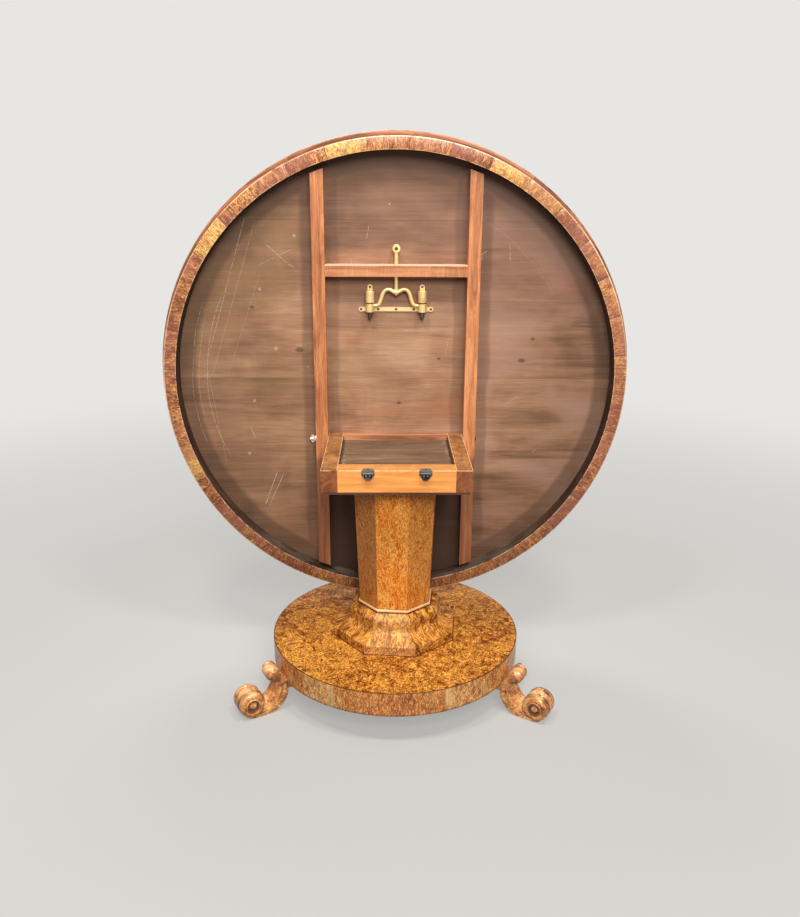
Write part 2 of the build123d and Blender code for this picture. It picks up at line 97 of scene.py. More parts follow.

# %% [markdown]
# ## Light and floor
#
# Depth reads from shadow. Two soft lamps hang high at the left and the right, so the hoop and the bearers shade
# the boards beside them, and the block leaves a dark hollow below it; the boards and the bearers also have painted
# shade in these places. A wide soft box in front and the world fill in, and a second box behind lights the show
# side, which faces away from the rest. The floor and the far background are pale, and their colour does that, not
# extra light.

# %% Hang the lamps
def lamp(name, place, target, size, watts, tint):
    """A square area lamp at a place, turned to face a target."""
    light = bpy.data.lights.new(name, "AREA")
    light.size = size
    light.energy = watts
    light.color = tint
    holder = bpy.data.objects.new(name, light)
    bpy.context.scene.collection.objects.link(holder)
    holder.location = place
    holder.rotation_euler = (Vector(target) - Vector(place)).to_track_quat("-Z", "Y").to_euler()


WARM = (1.0, 0.97, 0.93)
NEARLY_WHITE = (1.0, 0.98, 0.96)
LAMP_SIZE = 0.55
BOX_SIZE = 1.6
lamp("lamp_left", (-0.72, -1.2, 3.7), (0.0, 0.1, 0.7), LAMP_SIZE, 54.0, WARM)
lamp("lamp_right", (0.86, -1.25, 3.65), (0.0, 0.1, 0.7), LAMP_SIZE, 58.0, WARM)
lamp("soft_box", (0.4, -3.7, 3.1), (0.0, 0.0, 0.7), BOX_SIZE, 136.0, NEARLY_WHITE)
lamp("back_box", (-0.5, 2.5, 4.0), (0.0, 0.15, 0.8), BOX_SIZE, 100.0, NEARLY_WHITE)

world = bpy.data.worlds.new("studio")
bpy.context.scene.world = world
world.use_nodes = True
sky = world.node_tree.nodes["Background"]
sky.inputs["Color"].default_value = (0.95, 0.95, 0.95, 1.0)
sky.inputs["Strength"].default_value = 0.13

# %% [markdown]
# ## A small language for finishes
#
# A finish is a graph of nodes, and graphs are hard to read as code. So one class wraps an output socket and turns
# `a * 2 + b` into Math nodes, and one method makes every other node from its type, its settings and its inputs.

# %% Wrap the sockets
def maths(operation, swapped=False):
    """A method that adds one Math node."""
    def method(wire, other=0.0):
        first, second = (other, wire) if swapped else (wire, other)
        return wire.finish.node("Math", {"operation": operation}, {0: first, 1: second})
    return method


class Wire:
    """A value on its way through a finish. Each operator adds one Math node."""

    __add__ = __radd__ = maths("ADD")
    __sub__ = maths("SUBTRACT")
    __rsub__ = maths("SUBTRACT", swapped=True)
    __mul__ = __rmul__ = maths("MULTIPLY")
    __truediv__ = maths("DIVIDE")
    __abs__ = maths("ABSOLUTE")
    floor = maths("FLOOR")
    fraction = maths("FRACT")
    sine = maths("SINE")
    cosine = maths("COSINE")
    least = maths("MINIMUM")
    most = maths("MAXIMUM")
    remainder = maths("FLOORED_MODULO")
    angle_from = maths("ARCTAN2")

    def __init__(self, finish, socket):
        self.finish = finish
        self.socket = socket

    def step(self, low, high):
        """0 below low, 1 above high, and smooth between. With high under low it falls instead."""
        ends = {"Value": self, "From Min": min(low, high), "From Max": max(low, high)}
        ends.update({"To Min": 0.0, "To Max": 1.0} if low < high else {"To Min": 1.0, "To Max": 0.0})
        return self.finish.node("MapRange", {"interpolation_type": "SMOOTHSTEP"}, ends)


class Finish:
    """A material under construction."""

    def __init__(self, name, slot, **constants):
        self.slot = slot
        self.material = bpy.data.materials.new(name)
        self.material.use_nodes = True
        self.tree = self.material.node_tree
        self.shader = self.tree.nodes["Principled BSDF"]
        for socket, value in constants.items():
            self.shader.inputs[socket.replace("_", " ")].default_value = value

    def node(self, kind, settings=None, inputs=None, output=0):
        made = self.tree.nodes.new("ShaderNode" + kind)
        for name, value in (settings or {}).items():
            if name == "stops":
                self.set_stops(made.color_ramp, value)
            else:
                setattr(made, name, value)
        for socket, value in (inputs or {}).items():
            if isinstance(value, Wire):
                self.tree.links.new(value.socket, made.inputs[socket])
            else:
                made.inputs[socket].default_value = value
        if isinstance(output, tuple):
            return [Wire(self, made.outputs[which]) for which in output]
        return Wire(self, made.outputs[output])

    def set_stops(self, ramp, stops):
        while len(ramp.elements) < len(stops):
            ramp.elements.new(1.0)
        for element, (place, colour) in zip(ramp.elements, stops):
            element.position = place
            element.color = (*colour, 1.0)

    def point(self):
        """Where the surface is, in metres."""
        return self.node("TexCoord", output="Object")

    def facing(self):
        """Which way the surface looks, as a vector of length 1."""
        return self.node("TexCoord", output="Normal")

    def parts_of(self, vector):
        return self.node("SeparateXYZ", {}, {0: vector}, output=(0, 1, 2))

    def vector(self, x, y, z):
        return self.node("CombineXYZ", {}, {0: x, 1: y, 2: z})

    def length(self, *parts):
        """The length of a vector with two or three parts."""
        x, y, z = (*parts, 0.0)[:3]
        return self.node("VectorMath", {"operation": "LENGTH"}, {0: self.vector(x, y, z)}, output=1)

    def noise(self, where, scale, detail=4.0, rough=0.5, warp=0.0):
        """Noise from 0 to 1 at a place, which is a vector or its three parts."""
        where = where if isinstance(where, Wire) else self.vector(*where)
        values = {"Vector": where, "Scale": scale, "Detail": detail, "Roughness": rough, "Distortion": warp}
        return self.node("TexNoise", {}, values)

    def chance(self, number):
        """A number from 0 to 1 that is the same wherever the given number is."""
        return self.node("TexWhiteNoise", {"noise_dimensions": "1D"}, {"W": number})

    def ramp(self, value, stops):
        return self.node("ValToRGB", {"stops": stops}, {"Fac": value})

    def mix(self, below, above, share):
        """Colour above over colour below. A colour is a wire or three numbers."""
        below, above = [c if isinstance(c, Wire) else (*c, 1.0) for c in (below, above)]
        return self.node("Mix", {"data_type": "RGBA"}, {0: share, 6: below, 7: above}, output=2)

    def layers(self, colour, *stains):
        """Lays stains over a colour in turn. Each stain is a colour and its share."""
        for stain, share in stains:
            colour = self.mix(colour, stain, share)
        return colour

    def stain(self, *stains):
        """Lays stains over the colour that the finish has so far."""
        plain = Wire(self, self.shader.inputs["Base Color"].links[0].from_socket)
        self.wear(Base_Color=self.layers(plain, *stains))

    def wear(self, **values):
        """Links what varies to the shader's own sockets."""
        for socket, value in values.items():
            self.tree.links.new(value.socket, self.shader.inputs[socket.replace("_", " ")])

    def relief(self, height, depth, strength=0.6):
        """Raises the surface by a height from 0 to 1, times a depth in metres."""
        values = {"Height": height, "Distance": depth, "Strength": strength}
        self.wear(Normal=self.node("Bump", {}, values))


print("finish language ready")

# %% [markdown]
# ## Long-grained wood
#
# Sawn boards show stripes that run with the grain, so their noise is stretched along one axis. A second, finer
# noise gives the pores, which are also short dark dashes along the grain. The stripes shift slowly in tone across
# a board, because each came from a different depth of the tree.

# %% Describe plain timber
GRAIN_STRETCH = {"X": (1.0, 14.0, 14.0), "Y": (14.0, 1.0, 14.0), "Z": (14.0, 14.0, 1.0)}


def timber(name, slot, grain, dark, middle, light, gloss=0.42, pores=0.35, coat=0.0, coarse=1.0):
    """Wood whose grain runs along an axis, from three colours, dark to light."""
    finish = Finish(name, slot, Coat_Roughness=0.25, Coat_Weight=coat, IOR=1.5)
    here = finish.point()
    stretched = finish.node("Mapping", {}, {"Vector": here, "Scale": GRAIN_STRETCH[grain]})
    stripes = finish.noise(stretched, 4.5 * coarse, 5.0, 0.6, 0.9)
    drift = finish.noise(here, 3.0, 2.0)
    fine = finish.noise(stretched, 42.0, 3.0, 0.65)
    tone = stripes * 0.62 + drift * 0.26 + fine * 0.12
    colour = finish.ramp(tone, [(0.36, dark), (0.5, middle), (0.63, light)])
    dashes = finish.noise(stretched, 95.0, 2.0, 0.5).step(0.56, 0.7)
    colour = finish.mix(colour, dark, dashes * pores)
    end = abs(finish.parts_of(finish.facing())["XYZ".index(grain)]).step(0.55, 0.8)
    rings = finish.noise(here, 38.0, 3.0, 0.5, 1.2) * 0.6 + finish.noise(here, 420.0, 2.0) * 0.4
    colour = finish.mix(colour, finish.ramp(rings, [(0.36, dark), (0.6, middle)]), end * 0.85)
    finish.wear(Base_Color=colour, Roughness=gloss + dashes * 0.18 + drift * 0.08)
    finish.relief(1.0 - dashes * 0.8 + fine * 0.2, 0.0004, 0.35)
    return finish


MAHOGANY = ((0.22, 0.064, 0.024), (0.58, 0.212, 0.072), (0.84, 0.375, 0.155))
RAIL_RED = ((0.2, 0.06, 0.022), (0.42, 0.145, 0.054), (0.62, 0.26, 0.105))
bearer_wood = timber("mahogany_upright", "mahogany", "Z", *MAHOGANY)
rail_wood = timber("mahogany_crosswise", "mahogany", "X", *RAIL_RED)
print("timber", bearer_wood.material.name, len(bearer_wood.tree.nodes), "nodes")

# %% [markdown]
# ## Burr veneer
#
# Burr comes from a knotty growth, so it has no straight grain: it is a cloud of gold with short dark curls, and with
# fibres that turn up and catch the light. A maker cuts it in leaves and lays them side by side, and each leaf is a
# different cloud. So the pattern takes a leaf number, and that number picks the place in the log and the leaf's tone.

# %% Describe burr
BURR = ((0.06, 0.015, 0.003), (0.44, 0.126, 0.012), (0.9, 0.37, 0.054))
GLINT = (1.0, 0.54, 0.125)       # light caught by upturned fibres
LOG_SPAN = 7.0                   # leaves are cut this far apart in the pattern


def leaf_place(finish, where, leaf):
    """The point moved to the leaf's own part of the log."""
    shift = finish.node("TexWhiteNoise", {"noise_dimensions": "1D"}, {"W": leaf}, output=1)
    far = finish.node("VectorMath", {"operation": "SCALE"}, {0: shift, "Scale": LOG_SPAN})
    return finish.node("VectorMath", {"operation": "ADD"}, {0: where, 1: far})


def burr_colour(finish, where, leaf, colours=BURR, stretch=(1.0, 1.0, 1.0), curl=1.0, spread=0.12):
    """The colour and the dark figure of one leaf. Stretch below 1 draws the figure out along that axis."""
    log = leaf_place(finish, where, leaf)
    drawn = finish.node("Mapping", {}, {"Vector": log, "Scale": stretch})
    cloud = finish.noise(drawn, 9.0, 3.0, 0.6, 0.8)
    clumps = finish.noise(drawn, 36.0 * curl, 3.0, 0.6, 1.2)
    curls = finish.noise(drawn, 88.0 * curl, 2.0, 0.55, 1.9)
    flecks = finish.noise(drawn, 210.0 * curl, 2.0, 0.6, 0.8)
    tone = cloud * 0.32 + clumps * 0.32 + curls * 0.18 + flecks * 0.18 + (finish.chance(leaf) - 0.5) * spread
    dark, middle, light = colours
    colour = finish.ramp(tone, [(0.44, middle), (0.54, light)])
    lines = abs(curls - 0.5).step(0.085, 0.035) * flecks.step(0.4, 0.48)
    clots = (curls * 0.6 + clumps * 0.4).step(0.45, 0.395)
    figure = (lines * 0.9).most(clots)
    glints = (curls * 0.6 + clumps * 0.4).step(0.52, 0.61)
    colour = finish.layers(colour, (GLINT, glints * 0.32), (dark, figure * 0.9))
    return colour, figure, tone


def turn_about(finish, centre, upright):
    """Angle in turns and radius in metres about an axis through centre. Upright means the tipped top's axis, along
    Y, with angles from the top of the circle. Otherwise it is the column's axis, with angles from the front."""
    x, y, z = finish.parts_of(finish.point())
    across = x - centre.x
    down = (z - centre.z) if upright else (centre.y - y)
    return across.angle_from(down) / math.tau, finish.length(across, down)


def leaves(turns, radius, count, first):
    """The leaf number round a circle of equal leaves, and the distance to the nearest joint in metres."""
    place = (turns - first / 360.0) * count
    part = place.fraction()
    return place.floor().remainder(float(count)), part.least(1.0 - part) * radius * (math.tau / count)


print("burr ready")

# %% [markdown]
# ## Easing the arrises
#
# No edge on a handled table is sharp. A piece whose CAD shape is right is copied, its loose triangles are merged
# into plain faces, and a narrow bevel rounds each corner so that it catches the light. The bevel is a modifier with
# an angle limit, which leaves the curved surfaces alone.

# %% Copy and ease a CAD piece
SHARP = math.radians(28)         # faces that meet at more than this make an edge
FLAT = math.radians(0.4)         # faces that meet at less than this are one face
TOUCHING = 0.00001               # corners this close are one corner


def show(name, mesh, finish, body, *nodes):
    """Puts a finished mesh in the scene, on its body, in place of the CAD nodes it stands for."""
    piece = bpy.data.objects.new(name, mesh)
    bpy.context.scene.collection.objects.link(piece)
    mesh.materials.clear()
    mesh.materials.append(finish.material)
    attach(piece, body)
    if nodes:
        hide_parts(*nodes)
    return piece


def smooth_over(mesh, angle=SHARP):
    """Smooth shading, with a break wherever two faces meet at more than an angle."""
    if "custom_normal" in mesh.attributes:
        mesh.attributes.remove(mesh.attributes["custom_normal"])
    mesh.shade_smooth()
    mesh.set_sharp_from_angle(angle=angle)


def ease(node, finish, body, arris):
    """A copy of one CAD node with its arrises rounded, by a width in metres."""
    work = bmesh.new()
    work.from_mesh(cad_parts[node].data)
    bmesh.ops.remove_doubles(work, verts=work.verts, dist=TOUCHING)
    bmesh.ops.dissolve_limit(work, angle_limit=FLAT, verts=work.verts, edges=work.edges)
    mesh = bpy.data.meshes.new(node + "_eased")
    work.to_mesh(mesh)
    work.free()
    piece = show(node + "_eased", mesh, finish, body, node)
    if arris:
        bevel = piece.modifiers.new("arris", "BEVEL")
        bevel.width = arris
        bevel.segments = 2
        bevel.limit_method = "ANGLE"
        bevel.angle_limit = SHARP
    smooth_over(mesh)


print("easing ready")

# %% [markdown]
# ## The bearers and the cross rail
#
# Two square mahogany bars run down the underside and carry the pivots. A thin rail is tenoned between them.

# %% Dress the bearers and the rail
BLOCK_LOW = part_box("block_bottom_board")[0].z
x, _, z = bearer_wood.parts_of(bearer_wood.point())
streaks = bearer_wood.noise((x * 240.0, 0.0, z * 9.0), 1.0, 3.0, 0.6).step(0.52, 0.7)
# Painted shadow: the bearers are darker below the block, as in its shade.
shaded = z.step(BLOCK_LOW + 0.01, BLOCK_LOW - 0.015)
bearer_wood.stain(((0.2, 0.062, 0.024), streaks * 0.4), ((0.12, 0.04, 0.018), shaded * 0.6))
for side in ("left", "right"):
    ease(f"bearer_{side}", bearer_wood, "top", 0.0012)
ease("cross_rail", rail_wood, "top", 0.0012)
rail_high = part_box("cross_rail")[1]
x, _, z = rail_wood.parts_of(rail_wood.point())
sawn = rail_wood.noise((x * 260.0, 0.0, z * 14.0), 1.0, 2.0).step(0.5, 0.68)
dust = z.step(rail_high.z - 0.004, rail_high.z - 0.001) * rail_wood.noise(rail_wood.point(), 30.0, 3.0)
rail_wood.stain(((0.72, 0.36, 0.17), sawn * 0.45), ((0.84, 0.56, 0.36), (dust * 2.4).least(0.92)))
print("bearers and rail eased")

# %% [markdown]
# ## The boards of the underside
#
# Six wide softwood planks make the top's core. Nobody polishes the underside: it has an old grey-brown stain, worn
# thinner in streaks along the grain, with knots, and with pale scratches where the table was moved. A scratch is
# the distance to a short line, made into a thin mask. A knot is a small round stain that also bends the stripes.

# %% Describe the stained planks
PLANK_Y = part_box("plank_1")[0].y
HOOP_THICKNESS = 0.034
HOOP_OUTSIDE = (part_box("hoop_segments")[1].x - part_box("hoop_segments")[0].x) / 2
HOOP_INSIDE = HOOP_OUTSIDE - HOOP_THICKNESS
BEARER_MIDDLE = (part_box("bearer_right")[0].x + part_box("bearer_right")[1].x) / 2
PLANKS = 6
PLANK_EDGES = [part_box(f"plank_{k}")[0].z for k in range(2, PLANKS + 1)]
SCRATCHES = [                    # start and end from the top's centre, width, strength
    ((-0.43, 0.46), (-0.56, 0.05), 0.0015, 0.55), ((-0.405, 0.44), (-0.548, 0.005), 0.0012, 0.42),
    ((-0.395, 0.3), (-0.5, 0.01), 0.0011, 0.3), ((-0.56, 0.02), (-0.52, -0.26), 0.0011, 0.4),
    ((-0.375, 0.39), (-0.3, 0.325), 0.0011, 0.8), ((-0.395, 0.33), (-0.3, 0.375), 0.0009, 0.6),
    ((-0.325, 0.365), (-0.285, 0.31), 0.0008, 0.5), ((-0.405, -0.4), (-0.365, -0.295), 0.0018, 0.9),
    ((-0.393, -0.405), (-0.345, -0.3), 0.0014, 0.8), ((0.225, 0.35), (0.26, 0.372), 0.0014, 0.9),
    ((0.238, 0.372), (0.248, 0.345), 0.001, 0.7), ((0.325, 0.395), (0.328, 0.345), 0.0012, 0.5),
    ((-0.085, 0.405), (-0.078, 0.44), 0.001, 0.7), ((-0.13, 0.35), (-0.128, 0.315), 0.0009, 0.6),
    ((0.155, 0.12), (0.15, 0.08), 0.0012, 0.5), ((-0.44, -0.155), (-0.428, -0.185), 0.0022, 0.7),
    ((0.33, -0.08), (0.372, -0.052), 0.0013, 0.4), ((0.42, -0.23), (0.445, -0.215), 0.0012, 0.5)]
KNOTS = [                        # place from the top's centre, radius
    (-0.285, 0.085, 0.011), (0.375, 0.055, 0.009), (0.01, -0.075, 0.006), (-0.128, -0.215, 0.007),
    (0.405, 0.12, 0.006), (0.128, 0.06, 0.005), (-0.42, 0.21, 0.006), (-0.1, -0.43, 0.012)]
ARCS = [                         # radius, first and last angle in degrees, width, strength
    (0.56, -118.0, -62.0, 0.0014, 0.55), (0.585, -106.0, -70.0, 0.001, 0.5),
    (0.604, -112.0, -66.0, 0.0012, 0.45), (0.52, 20.0, 64.0, 0.001, 0.25)]
SPOTS = [                        # place from the top's centre, radius
    (-0.292, 0.412, 0.0055), (-0.395, 0.262, 0.006), (-0.355, 0.09, 0.0075), (-0.425, -0.07, 0.006),
    (-0.448, -0.235, 0.0065), (-0.262, 0.035, 0.004), (0.215, 0.385, 0.0045), (-0.02, 0.5, 0.004)]


def distance_to_line(finish, across, up, start, end):
    """Distance in metres from the surface to a straight line between two places on it."""
    run = Vector(end) - Vector(start)
    square = run.length_squared
    along = ((across - start[0]) * (run.x / square) + (up - start[1]) * (run.y / square)).most(0.0).least(1.0)
    return finish.length(across - start[0] - along * run.x, up - start[1] - along * run.y)


def near_place(finish, across, up, place_x, place_z, flat=1.0):
    """Distance in metres to a place on the boards. With flat under 1 the rings are long across the board."""
    return finish.length((across - place_x) * flat, up - place_z)


def wear_marks(finish, across, up, turns, radius):
    """Scratches and rubbed arcs, and small pale spots, each from 0 to 1."""
    here = finish.point()
    scratched = 0.0
    for start, end, width, strength in SCRATCHES:
        away = distance_to_line(finish, across, up, start, end)
        scratched = (away.step(width, width * 0.25) * strength).most(scratched)
    degrees = turns * 360.0
    for arc, first, last, width, strength in ARCS:
        wander = finish.noise(here, 4.0, 1.0) * 0.02 - 0.01
        line = abs(radius + wander - arc).step(width, width * 0.3)
        part = degrees.step(first, first + 6.0) * degrees.step(last, last - 6.0)
        scratched = (line * part * strength).most(scratched)
    spotted = 0.0
    ragged = finish.noise(here, 130.0, 2.0) * 0.006 - 0.003
    for place_x, place_z, size in SPOTS:
        spotted = (near_place(finish, across, up, place_x, place_z) + ragged).step(size, size * 0.4) + spotted
    return scratched, spotted


def stained_planks():
    """The boards: grain along X that bends round the knots, stains, painted shade by the hoop and the bearers, under
    the block and towards the rim, and wear.
    """
    finish = Finish("stained_planks", "stained_plank", IOR=1.45)
    here = finish.point()
    x, y, z = finish.parts_of(here)
    across = x - TOP_MIDDLE.x
    up = z - TOP_MIDDLE.z
    turns, radius = turn_about(finish, TOP_MIDDLE, True)
    bend = dark_knot = board = 0.0
    for place_x, place_z, size in KNOTS:
        away = near_place(finish, across, up, place_x, place_z, 0.62)
        bend = away.step(size * 3.2, 0.0) * size * 1.3 + bend
        dark_knot = away.step(size * 1.05, size * 0.35) + dark_knot
    seam = 1.0
    for edge in PLANK_EDGES:
        board = board + z.step(edge, edge + 0.0001)
        seam = abs(z - edge).step(0.0003, 0.0013) * seam
    wide = finish.noise((x * 0.8 + board * 3.7, y, (z + bend) * 9.0), 3.0, 4.0, 0.6, 0.6)
    lines = finish.noise((x * 1.2 + board, y, (z + bend) * 55.0), 3.4, 3.0, 0.6, 0.3)
    patches = finish.noise((x, board * 0.12, z * 1.3), 3.6, 3.0, 0.6, 0.5)
    brushed = finish.noise((x * 40.0, y, z * 1.5), 3.0, 2.0)
    fibre = finish.noise((x * 6.0, y, z * 180.0), 4.0, 2.0)
    tone = wide * 0.31 + lines * 0.11 + patches * 0.42 + brushed * 0.02 + fibre * 0.14
    tone = tone + (finish.chance(board + 4.0) - 0.5) * 0.03
    olive = finish.noise((x, y, z * 1.6), 2.4, 3.0).step(0.46, 0.64) * across.step(0.1, -0.3)
    plum = across.step(0.1, 0.34) * patches.step(0.4, 0.6)
    streak = finish.noise((x * 1.6 + board * 9.0, y, z * 120.0), 2.2, 2.0).step(0.66, 0.76)
    red = finish.noise((x * 1.2, y, z * 5.0), 2.2, 2.0).step(0.58, 0.74)
    upper = (up + patches * 0.2).step(0.235, 0.335) * across.step(-0.45, 0.05)
    ragged = finish.noise(here, 9.0, 3.0) * 0.03
    # Painted shade: darker beside the hoop and the bearers, and in the hollow under the block.
    by_hoop = (radius + ragged * 0.5).step(HOOP_INSIDE - 0.048, HOOP_INSIDE - 0.03)
    by_bearer = (abs(abs(across) - BEARER_MIDDLE) - ragged * 0.8).step(0.048, 0.036)
    below = z.step(BLOCK_LOW + 0.02, BLOCK_LOW - 0.01) * abs(across).step(BEARER_MIDDLE, BEARER_MIDDLE - 0.012)
    painted_shade = (by_hoop * 0.5).most(by_bearer * 0.3).most(below * 0.92)
    scratched, spotted = wear_marks(finish, across, up, turns, radius)
    broken = finish.noise(here, 170.0, 2.0).step(0.36, 0.56)
    colour = finish.ramp(tone, [(0.38, (0.13, 0.062, 0.03)), (0.46, (0.26, 0.13, 0.068)),
                                (0.53, (0.365, 0.19, 0.102)), (0.63, (0.5, 0.295, 0.172))])
    colour = finish.layers(
        colour, ((0.26, 0.15, 0.062), olive * 0.5), ((0.35, 0.2, 0.155), plum * 0.55),
        ((0.6, 0.39, 0.225), streak * 0.34), ((0.4, 0.15, 0.065), red * 0.45),
        ((0.055, 0.024, 0.013), (dark_knot * 0.7).least(0.8)),
        # painted shade: darker towards the rim
        ((0.09, 0.04, 0.02), radius.step(0.28, 0.62) * 0.3), ((0.19, 0.09, 0.064), upper * 0.42),
        ((0.04, 0.018, 0.01), painted_shade), ((0.06, 0.03, 0.018), (1.0 - seam) * 0.3),
        ((0.66, 0.5, 0.34), scratched * broken * 0.85), ((0.62, 0.46, 0.33), spotted * 0.45))
    finish.wear(Base_Color=colour, Roughness=0.66 - scratched * 0.1)
    finish.relief(tone * 0.35 + seam * 0.3 - scratched * 0.2 + fibre * 0.1, 0.001, 0.5)
    return finish


plank_stain = stained_planks()
for k in range(1, PLANKS + 1):
    ease(f"plank_{k}", plank_stain, "top", 0.0005)
print("planks meet at heights", [round(edge, 4) for edge in PLANK_EDGES])

# %% [markdown]
# ## The hoop and its cross-banding
#
# A deep hoop runs round the underside, so the top looks thick from its edge. It is built of sawn segments. Its face
# is banded with short pieces of burr laid across it, 36 of them, and no two match: five are paler. The outermost
# corner is rubbed and catches the light, and a pale line paints both; painted shade darkens the band's bottom and its
# inner wall.

# %% Model the banding
BAND_PIECES = 36
BAND_FIRST = 3.0                 # degrees from the top to the first joint
BAND_JOINT = math.radians(0.012)
BAND_ARRIS = 0.0004
BAND_STEPS = 6                   # straight steps that make one piece's curve
HOOP_STEPS = 12


def arc_block(work, inner, outer, front, back, start, turn, steps):
    """A curved block round the top's axis: one rectangle, spun through an angle. Angles start at the top."""
    corners = []
    for radius, depth in ((inner, front), (outer, front), (outer, back), (inner, back)):
        place = (TOP_MIDDLE.x + radius * math.sin(start), depth, TOP_MIDDLE.z + radius * math.cos(start))
        corners.append(work.verts.new(place))
    face = work.faces.new(corners)
    bmesh.ops.spin(work, geom=[face, *face.edges, *face.verts], cent=(TOP_MIDDLE.x, 0.0, TOP_MIDDLE.z),
                   axis=(0.0, 1.0, 0.0), angle=turn, steps=steps, use_merge=False, use_duplicate=False)


def round_corners(work, width):
    """Bevels every sharp edge of a bmesh."""
    sharp = [e for e in work.edges if len(e.link_faces) == 2 and e.calc_face_angle(0.0) > SHARP]
    bmesh.ops.bevel(work, geom=sharp, offset=width, offset_type="OFFSET", segments=2, profile=0.5,
                    affect="EDGES", material=-1, clamp_overlap=True)


def finished_mesh(name, work, angle=SHARP):
    """Turns a bmesh into a mesh with its faces pointing outwards."""
    bmesh.ops.recalc_face_normals(work, faces=work.faces)
    mesh = bpy.data.meshes.new(name)
    work.to_mesh(mesh)
    work.free()
    smooth_over(mesh, angle)
    return mesh


work = bmesh.new()
piece_turn = math.tau / BAND_PIECES
for k in range(BAND_PIECES):
    start = math.radians(BAND_FIRST) + k * piece_turn + BAND_JOINT
    arc_block(work, HOOP_INSIDE, BAND_RADIUS, band_low.y, band_high.y, start, piece_turn - 2 * BAND_JOINT, BAND_STEPS)
round_corners(work, BAND_ARRIS)
band_mesh = finished_mesh("hoop_banding", work)
print("banding", len(band_mesh.polygons), "faces, inner radius", round(HOOP_INSIDE, 4))

# %% Finish the banding
RING_BURR = ((0.085, 0.022, 0.009), (0.38, 0.115, 0.04), (0.7, 0.29, 0.1))
PALE_BURR = ((0.3, 0.095, 0.02), (0.64, 0.29, 0.065), (0.86, 0.53, 0.17))
PALE_PIECES = {34: 1.0, 2: 0.8, 30: 1.0, 24: 0.5, 3: 0.3}
# Pale arrises: rubbed wood and a painted highlight.
WEAR_AND_HIGHLIGHT = (0.9, 0.66, 0.42)


def banding_finish():
    """Short pieces with their grain across the band, darker at some ends, rubbed and painted with a highlight on both
    arrises, and with painted shade towards the bottom and on the inner wall.
    """
    finish = Finish("banding_burr", "burr_ring", Coat_Roughness=0.2, Coat_Weight=0.1, IOR=1.45)
    turns, radius = turn_about(finish, TOP_MIDDLE, True)
    number, joint = leaves(turns, radius, BAND_PIECES, BAND_FIRST)
    here = finish.point()
    x, y, z = finish.parts_of(here)
    along = finish.vector(turns * math.tau * BAND_RADIUS, radius, number * 0.37)
    drawn = (1.35, 0.5, 1.0)
    colour, figure, tone = burr_colour(finish, along, number, RING_BURR, drawn, 0.9, 0.16)
    pale = burr_colour(finish, along, number + 50.0, PALE_BURR, drawn, 0.8, 0.05)[0]
    pale_share = 0.0
    for piece, strength in PALE_PIECES.items():
        pale_share = abs(number - float(piece)).step(0.5, 0.4) * strength + pale_share
    red = finish.noise(here, 7.0, 2.0).step(0.48, 0.62)
    plum = (x - TOP_MIDDLE.x).step(0.15, 0.55) * finish.noise(here, 5.0, 2.0).step(0.36, 0.5)
    # Painted shade: the band darkens towards the bottom.
    low = (z - TOP_MIDDLE.z).step(-0.2, -0.6)
    broken = finish.noise(here, 55.0, 2.0)
    # Pale lines on the outer and inner arrises paint rubbed wood and a highlight together.
    outer = radius.step(BAND_RADIUS - 0.0042, BAND_RADIUS - 0.0014) * broken.step(0.28, 0.42)
    inner = radius.step(HOOP_INSIDE + 0.0026, HOOP_INSIDE + 0.0008) * broken.step(0.4, 0.56)
    rub_and_sheen = finish.noise(here, 2.2, 2.0).step(0.4, 0.6) * 0.5 + 0.3
    # Painted shade on the band's inner wall.
    wall = y.step(band_low.y + 0.0012, band_low.y + 0.0022) * radius.step(HOOP_INSIDE + 0.004, HOOP_INSIDE + 0.002)
    colour = finish.layers(
        colour, (pale, pale_share), ((0.36, 0.13, 0.09), red * 0.4), ((0.3, 0.105, 0.072), plum * 0.42),
        ((0.09, 0.03, 0.012), low * 0.42), ((0.07, 0.022, 0.009), joint.step(0.0013, 0.0004) * 0.6),
        (WEAR_AND_HIGHLIGHT, outer * rub_and_sheen), (WEAR_AND_HIGHLIGHT, inner * 0.45), ((0.06, 0.024, 0.012), wall))
    finish.wear(Base_Color=colour, Roughness=0.4 + figure * 0.15 - outer * 0.05)
    finish.relief(tone * 0.5 + joint.step(0.0002, 0.001) * 0.5, 0.0006, 0.4)
    return finish


ring_burr = banding_finish()
show("hoop_banding", band_mesh, ring_burr, "top", "hoop_crossband")
print("banding finish", len(ring_burr.tree.nodes), "nodes")

# %% [markdown]
# ## Dressing a CAD piece as it is
#
# Thin flat veneers and hidden pieces already have the right shape. They keep their CAD mesh, and only take a finish.

# %% Give CAD pieces a finish
def paint(finish, *nodes):
    """Puts a finish on CAD nodes that keep their own mesh."""
    for node in nodes:
        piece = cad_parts[node]
        piece.data.materials.clear()
        piece.data.materials.append(finish.material)


